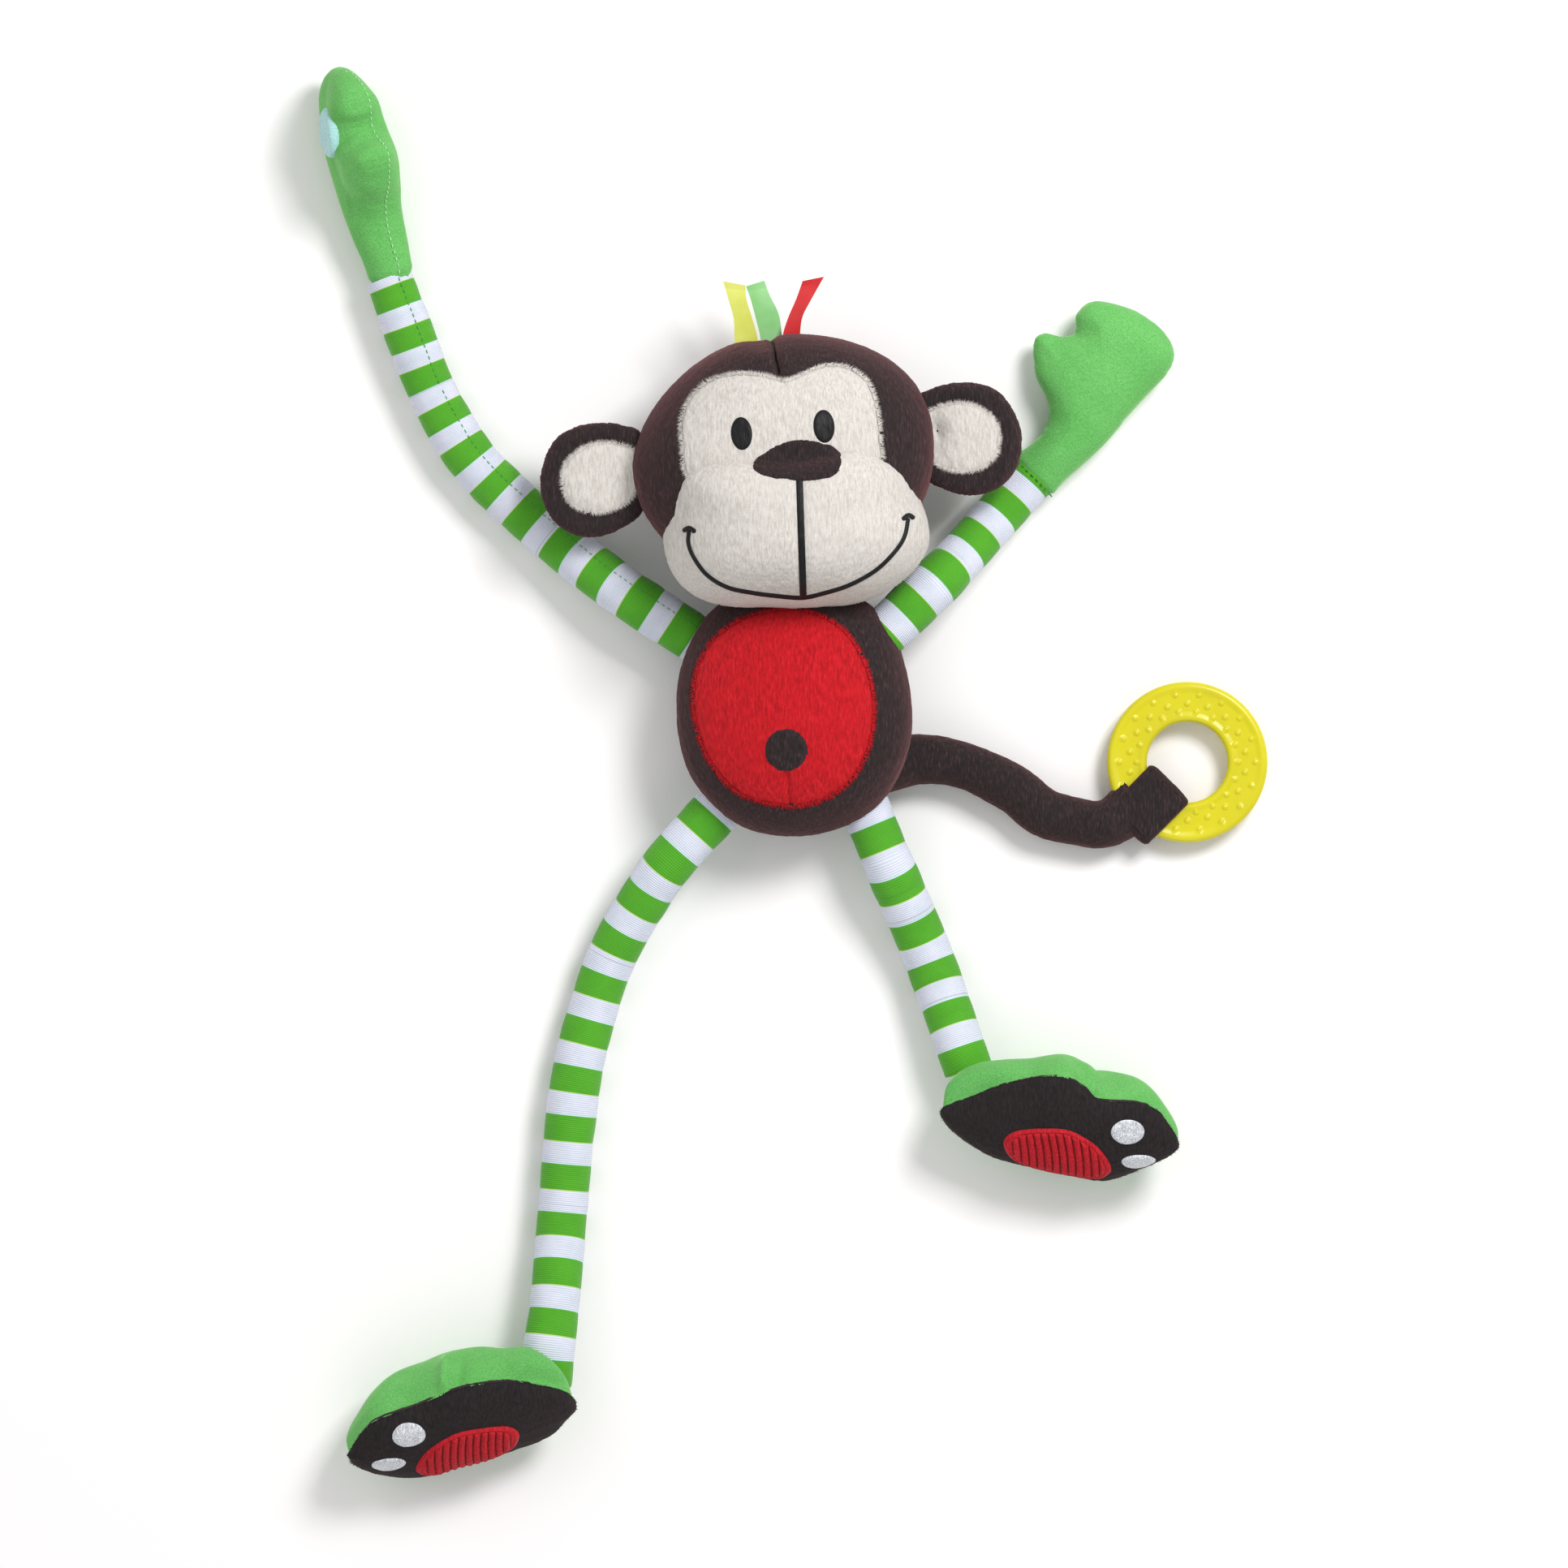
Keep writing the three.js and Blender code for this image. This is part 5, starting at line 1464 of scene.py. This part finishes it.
def foot(side):
    make = FEET[side]
    flip = make["flip"]
    sole_points, toe, across, down = foot_axes(side)
    local = (sole_points - sole_points.mean(0)) @ np.array([toe, across, down]).T
    spread = (local.min(0) + local.max(0)) / 2
    middle = sole_points.mean(0) + spread[0] * toe + spread[1] * across + (local[:, 2].min() - 0.2) * down
    star = Star([(u, v * flip) for u, v in make["outline"]], (0, 0))

    def put(points):
        placed = place(points, middle, toe, across, down)
        placed[:, 2] = np.maximum(placed[:, 2], 0.3)
        return placed

    def add(name, mesh, material, slot, *nodes, **attributes):
        piece = make_object(f"foot_{side}_{name}", put(mesh[0]), mesh[1], material, attributes=attributes)
        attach(piece, f"foot_{side}")
        if nodes:
            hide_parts(*(f"foot_{side}_{node}" for node in nodes))
        return piece

    points, faces = dome(
        star, 80, 320, lambda x, y, share: 9.4 * (1 - share**2.6) ** 0.55 + 0 * x, lambda x, y: np.full_like(x, -2.0), 0.15
    )
    points[:, 2] += 0.4 * fluff(points, 16, 74) * smoothstep(points[:, 2], 1, 6)
    points = nap(points, faces, 0.13, 71, lie=(1, 0.3, 0))
    skin = Skin(points, faces)
    # The sole, its edge pile and its fur use the brown plush's copy with painted shade.
    sole = add("sole_plush", (points, faces), SHADED_SOLE_BROWN, "brown_plush", "sole")

    crease_at, groove, roll = make["pinch"]

    def upper_z(x, y, share):
        return -make["depth"] * (1 - share**2.3) ** 0.5 + 0 * x

    points, faces = dome(star, 80, 320, upper_z, lambda x, y: np.full_like(x, 0.6))
    faces = [tuple(reversed(f)) for f in faces]
    u, v, z = points[:, 0], points[:, 1] * flip, points[:, 2]
    t = (u - crease_at - 0.22 * z) / 4.2
    fold = roll * np.exp(-((t + 1.1) ** 2)) - groove * np.exp(-((t / 0.7) ** 2)) - 0.5 * roll * np.exp(-((t - 0.9) ** 2))
    fold *= smoothstep(-v, 2, 13) * smoothstep(z, -30, -14) * smoothstep(-z, 0.2, 5)
    puff = 0.9 * smoothstep(z, -9, -2) * smoothstep(-z, 0, 1.5) + 0.3 * fluff(points, 13, 73)
    points = points + normals_of(points, faces) * (fold + puff)[:, None]
    swell, near, far = make["heel"]
    points[:, 1] -= flip * swell * smoothstep(-u, near, far) * smoothstep(-v, -10, 8) * smoothstep(-z, 0.2, 7)
    add("velour", (points, faces), GREEN, "green_velour", "upper")
    add("sole_edge_pile", fringe_mesh(star, lambda x, y: 0 * x + 0.2, 0.4, 1.4, 900, 76), SHADED_SOLE_BROWN, "brown_plush")

    spots = []
    for i, (at, half) in enumerate(make["dots"]):
        centre = (at[0], at[1] * flip)
        dot = oval(centre, half)
        spots += spread_over(dot, centre, 1.0)
        mesh = patch(dot, centre, skin.height, 0.9, rows=18, cols=90, sink=0.7)
        add(f"toe_stitch_{i + 1}", mesh, SILVER, "silver_thread", f"toe_dot_{i + 1}")

    pad_outline = [(u, v * flip) for u, v in RIB_PAD]
    pad_mid = (2, 5 * flip)
    pad_star = Star(pad_outline, pad_mid)
    spots += spread_over(pad_outline, pad_mid, 1.2)

    def ridge(x, y):
        v = y * flip
        return np.abs(np.sin((x - 0.25 * v + 0.006 * v * v) * math.pi / RIB_PITCH)) ** 0.8

    def pad_z(x, y):
        share = pad_star.share(x, y)
        border = 0.5 * np.exp(-(((share - 0.93) / 0.05) ** 2))
        return skin.height(x, y) + 0.2 + 1.2 * ridge(x, y) * smoothstep(1 - share, 0.12, 0.18) + border

    mesh = patch(pad_outline, pad_mid, pad_z, 0.8, rows=90, cols=340, sink=0.6, round_power=16)
    # The ridge attribute drives painted shade in the grooves between the pad's ridges.
    x, y, _ = mesh[0].T
    inside = smoothstep(1 - pad_star.share(x, y), 0.1, 0.14)
    add("rib_pad", mesh, PAD_RED, "red_ribbed_cloth", "ribbed_pad", ridge=1 - inside * (1 - ridge(x, y)))
    clear = put(skin.sound(*np.array(spots).T)[0])
    fur(sole, SHADED_SOLE_BROWN, 1.1, tuple(toe), 72, clear=(clear, 1.0))


# ---------------------------------------------------------------- tail and ring

TAIL_R = 10.0


def tail():
    bends = ["tail_swing", "tail_bend", "tail_loop_flex"]
    nodes = ["tail_base", "tail_end"]
    pivots = [pivot(name) for name in bends]
    ring_at = pivot("ring_spin")
    controls = [pivots[0] + np.array([-14.0, -1.0, 2.0]), pivots[0]]
    for i, node in enumerate(nodes):
        controls += middle_line(node, pivots[i], pivots[i + 1], 2)
        controls.append(pivots[i + 1])
    toward = unit(ring_at - pivots[2])
    controls.append(pivots[2] + toward * 15)
    path = spline(controls, step=0.6)
    rise = spline([(0, -1.5), (20, 0), (36, 4), (52, 5), (76, 2), (110, 2.2), (150, 1.5)], step=1.0)
    path[:, 1] += np.interp(lengths_along(path), *rise.T)
    path = smoothed(path, 12)
    length = lengths_along(path)
    at = [length[np.argmin(np.linalg.norm(path - p, axis=1))] for p in pivots]
    splits = [0.0] + [(a + b) / 2 for a, b in zip(at, at[1:])] + [length[-1] + 1]
    cols = 110
    end = smoothstep(length, length[-1] - 18, length[-1])
    wide = 1.0 + 0.12 * smoothstep(-length, -40, -10)
    rings = tube(path, TAIL_R * (1 + 0.1 * end) * wide + 0.35 * fluff(path, 18, 81), cols, squash=0.97)
    rings[:, :, 2] -= (rings[:, :, 2] - path[:, 2:3]) * 0.42 * end[:, None]
    for i in range(3):
        inside = np.where((length >= splits[i] - 1e-6) & (length <= splits[i + 1] + 0.6))[0]
        points, faces = rings_to_mesh(rings[inside[0] : inside[-1] + 1])
        points = nap(points, faces, 0.13, 82, lie=(1, -0.2, 0))
        piece = make_object(f"tail_plush_{i + 1}", points, faces, BROWN)
        after = min(24.0, (splits[i + 1] if i < 2 else length[-1]) - at[i])
        end = path[min(np.searchsorted(length, at[i] + after), len(path) - 1)]
        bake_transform(piece)
        fur(piece, BROWN, 1.5, (1, -0.3, 0.1), 83 + i)
        if i < 2:
            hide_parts(nodes[i])
    tail_loop(pivots[2], ring_at)


def ring_sizes():
    low, high = node_box("teether_ring")
    points, _ = node_points("teether_ring")
    centre = pivot("ring_spin")
    inner = np.hypot(points[:, 0] - centre[0], points[:, 1] - centre[1]).min()
    return centre, (high[0] - low[0]) / 2, inner, (high[2] - low[2]) / 2


def tail_loop(bend, ring_at):
    """The flattened end of the tail, folded over the ring's band and sewn back on itself."""
    centre, outer, inner, half_thick = ring_sizes()
    points, _ = node_points("tail_loop")
    toward = unit((ring_at - points.mean(0)) * np.array([1, 1, 0]))
    side = np.cross(UP, toward)
    local = (points - centre) @ np.array([toward, side, UP]).T
    (x0, _, z0), (x1, _, z1) = local.min(0), local.max(0)
    width = 23.0
    shift = 1.2
    wall = 2.6
    corner = 3.6

    def box_line(grow, radius, count=12):
        left, right, low, high = x0 + 3 - grow, x1 - 3 + grow, z0 + 3 - grow, z1 - 3 + grow
        out = []
        for cx, cz, begin in (
            (right - radius, high - radius, 0),
            (left + radius, high - radius, 90),
            (left + radius, low + radius, 180),
            (right - radius, low + radius, 270),
        ):
            for a in np.radians(np.linspace(begin, begin + 90, count)):
                out.append((cx + radius * math.cos(a), cz + radius * math.sin(a)))
        return np.array(out)

    inner_line, outer_line = box_line(0.2, 1.6), box_line(wall, corner + 0.6)
    outer_line = spline(outer_line, closed=True, step=0.8)
    share = np.linspace(0, len(inner_line), len(outer_line), endpoint=False)
    wrapped = np.vstack([inner_line, inner_line[:1]])
    inner_line = np.stack([np.interp(share, np.arange(len(wrapped)), wrapped[:, k]) for k in (0, 1)], axis=1)
    v = np.linspace(-1, 1, 26)
    rings = []
    for u in v:
        crown = (1 - abs(u) ** 5) ** 0.5
        line = inner_line + (outer_line - inner_line) * (0.25 + 0.75 * crown)
        rings.append(np.column_stack([line[:, 0], np.full(len(line), u * width / 2 - shift), line[:, 1]]))
    for u in v[::-1]:
        level = np.full(len(inner_line), u * width / 2 * 0.985 - shift)
        rings.append(np.column_stack([inner_line[:, 0], level, inner_line[:, 1]]))
    rings = np.array(rings)
    rows, cols, _ = rings.shape
    points = rings.reshape(-1, 3)
    faces = grid_faces(rows, cols)
    faces += [((rows - 1) * cols + c, (rows - 1) * cols + (c + 1) % cols, (c + 1) % cols, c) for c in range(cols)]
    points = nap(points, faces, 0.13, 91, lie=(1, 0, 0))
    piece = make_object("tail_loop_plush", place(points, centre, toward, side, UP), faces, BROWN)
    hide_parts("tail_loop")
    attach(piece, "tail_loop")
    fur(piece, BROWN, 1.3, tuple(toward), 92)


def teether_ring():
    """A flat plastic ring with a raised lip at each edge and three staggered rows of bumps on both faces."""
    centre, outer, inner, half = ring_sizes()
    lip = 2.2
    face_half = half - 0.55
    profile = []
    for a in np.radians(np.linspace(0, 90, 9)):
        profile.append((outer - lip + lip * math.cos(a), half - lip + lip * math.sin(a)))
    profile += [(outer - 3.2, half - 0.1), (outer - 3.9, face_half)]
    profile += [(r, face_half) for r in np.linspace(outer - 5, inner + 4.6, 30)]
    profile += [(inner + 3.6, face_half), (inner + 3.0, half - 0.1)]
    for a in np.radians(np.linspace(90, 180, 9)):
        profile.append((inner + lip + lip * math.cos(a), half - lip + lip * math.sin(a)))
    profile = np.array(profile)
    profile = np.concatenate([profile, (profile * [1, -1])[::-1]])
    cols = 540
    angle = np.linspace(0, 2 * math.pi, cols, endpoint=False)
    r, z = profile[:, 0][:, None], profile[:, 1][:, None]
    bump = np.zeros((len(profile), cols))
    for row, at in enumerate((outer - 5.1, outer - 9.2, inner + 4.4)):
        for k in range(18):
            turn = math.radians(20 * k + (10 if row == 1 else 0))
            gap = np.hypot(r * np.cos(angle) - at * math.cos(turn), r * np.sin(angle) - at * math.sin(turn))
            bump = np.maximum(bump, 0.65 * np.clip(1 - (gap / 1.4) ** 2, 0, 1) ** 0.8)
    rings = np.stack([r * np.cos(angle), r * np.sin(angle), z + np.sign(z) * bump], axis=2)
    rows = len(profile)
    faces = [tuple(reversed(f)) for f in grid_faces(rows, cols)]
    faces += [(c, (c + 1) % cols, (rows - 1) * cols + (c + 1) % cols, (rows - 1) * cols + c)[::-1] for c in range(cols)]
    points = rings.reshape(-1, 3) + centre
    faces = [tuple(reversed(f)) for f in faces]
    piece = make_object("teether_ring_smooth", points, faces, RING_YELLOW)
    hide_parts("teether_ring")
    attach(piece, "teether_ring")


# ---------------------------------------------------------------- stuffing and sound parts


def wadding(node, body, seed):
    """Lumpy fibre in the space of a CAD filling."""
    source = frame["nodes"][node]
    mesh = source.data.copy()
    piece = bpy.data.objects.new(node + "_wadding", mesh)
    bpy.context.scene.collection.objects.link(piece)
    remesh = piece.modifiers.new("remesh", "REMESH")
    remesh.mode = "VOXEL"
    remesh.voxel_size = 2.2 * MM
    solved = piece.evaluated_get(bpy.context.evaluated_depsgraph_get())
    fresh = bpy.data.meshes.new_from_object(solved)
    piece.modifiers.clear()
    piece.data = fresh
    points = np.array([v.co for v in fresh.vertices]).reshape(-1, 3) / MM
    faces = [tuple(p.vertices) for p in fresh.polygons]
    sink = 3.2 + 0.8 * fluff(points, 9, seed)
    points = points - normals_of(points, faces) * np.clip(sink, 2.2, 4.4)[:, None]
    fresh.vertices.foreach_set("co", (points * MM).astype(np.float32).ravel())
    fresh.materials.clear()
    fresh.materials.append(FIBRE)
    fresh.shade_smooth()
    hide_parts(node)
    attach(piece, body)


def inner_parts():
    wadding("torso_filling", "torso", 101)
    wadding("head_filling", "head", 102)
    finishes = {
        "squeaker_bellows": CASE_CLEAR,
        "squeaker_reed": CASE_BLUE,
        "rattle_case_lower": CASE_CLEAR,
        "rattle_case_upper": CASE_BLUE,
        "rattle_bead_1": CASE_BLUE,
        "rattle_bead_2": CASE_BLUE,
    }
    for node, material in finishes.items():
        slots = frame["nodes"][node].data.materials
        slots.clear()
        slots.append(material)


# ---------------------------------------------------------------- light, floor and camera

PICTURE_MM = 660.7  # width of the picture at the toy's middle height
VIEW_MID = (-4.4, -27.7, 20.0)
CAMERA_UP = 8000.0


def stage():
    floor_mesh = bpy.data.meshes.new("floor")
    reach = 3.0
    floor_mesh.from_pydata([(-reach, -reach, 0), (reach, -reach, 0), (reach, reach, 0), (-reach, reach, 0)], [], [(0, 1, 2, 3)])
    floor = bpy.data.objects.new("floor", floor_mesh)
    bpy.context.scene.collection.objects.link(floor)
    floor.location.z = (cad_box[0][2]) - 0.0006
    s = Shader("floor", 0.9)
    s.colour(s.mix(s.noise(3, 2), (0.94, 0.915, 0.92, 1), (0.955, 0.935, 0.94, 1)))
    floor_mesh.materials.append(s.material)

    world = bpy.data.worlds.new("studio")
    bpy.context.scene.world = world
    world.use_nodes = True
    world.node_tree.nodes["Background"].inputs["Color"].default_value = (1, 0.995, 0.99, 1)
    world.node_tree.nodes["Background"].inputs["Strength"].default_value = 0.55

    def area(name, at, size, watts, aim=(0, 0, 0)):
        light = bpy.data.lights.new(name, "AREA")
        light.size = size
        light.energy = watts
        lamp = bpy.data.objects.new(name, light)
        lamp.location = at
        lamp.rotation_euler = (Vector(aim) - Vector(at)).to_track_quat("-Z", "Y").to_euler()
        bpy.context.scene.collection.objects.link(lamp)

    area("key", (0.8, 0.85, 1.5), 0.6, 26)
    area("fill", (-1.2, 0.6, 1.4), 1.4, 5)
    area("front", (0.1, -1.4, 1.3), 1.2, 4)

    camera_data = bpy.data.cameras.new("camera")
    camera = bpy.data.objects.new("camera", camera_data)
    camera.location = (VIEW_MID[0] * MM, VIEW_MID[1] * MM, (VIEW_MID[2] + CAMERA_UP) * MM)
    camera_data.sensor_width = 36
    camera_data.lens = 36 * CAMERA_UP / PICTURE_MM
    camera_data.clip_end = 12
    bpy.context.scene.collection.objects.link(camera)
    bpy.context.scene.camera = camera
    bpy.context.scene.view_settings.view_transform = "Standard"


# ---------------------------------------------------------------- assembly

torso()
neck()
head()
ear("right", -1)
ear("left", 1)
ribbon("yellow", 1.5)
ribbon("green", -1.5)
ribbon("red", 0.0)
for limb_name, limb_data in LIMBS.items():
    sleeve(limb_name, limb_data, *limb_path(limb_data))
hand("right")
hand("left")
foot("right")
foot("left")
tail()
teether_ring()
inner_parts()
stage()
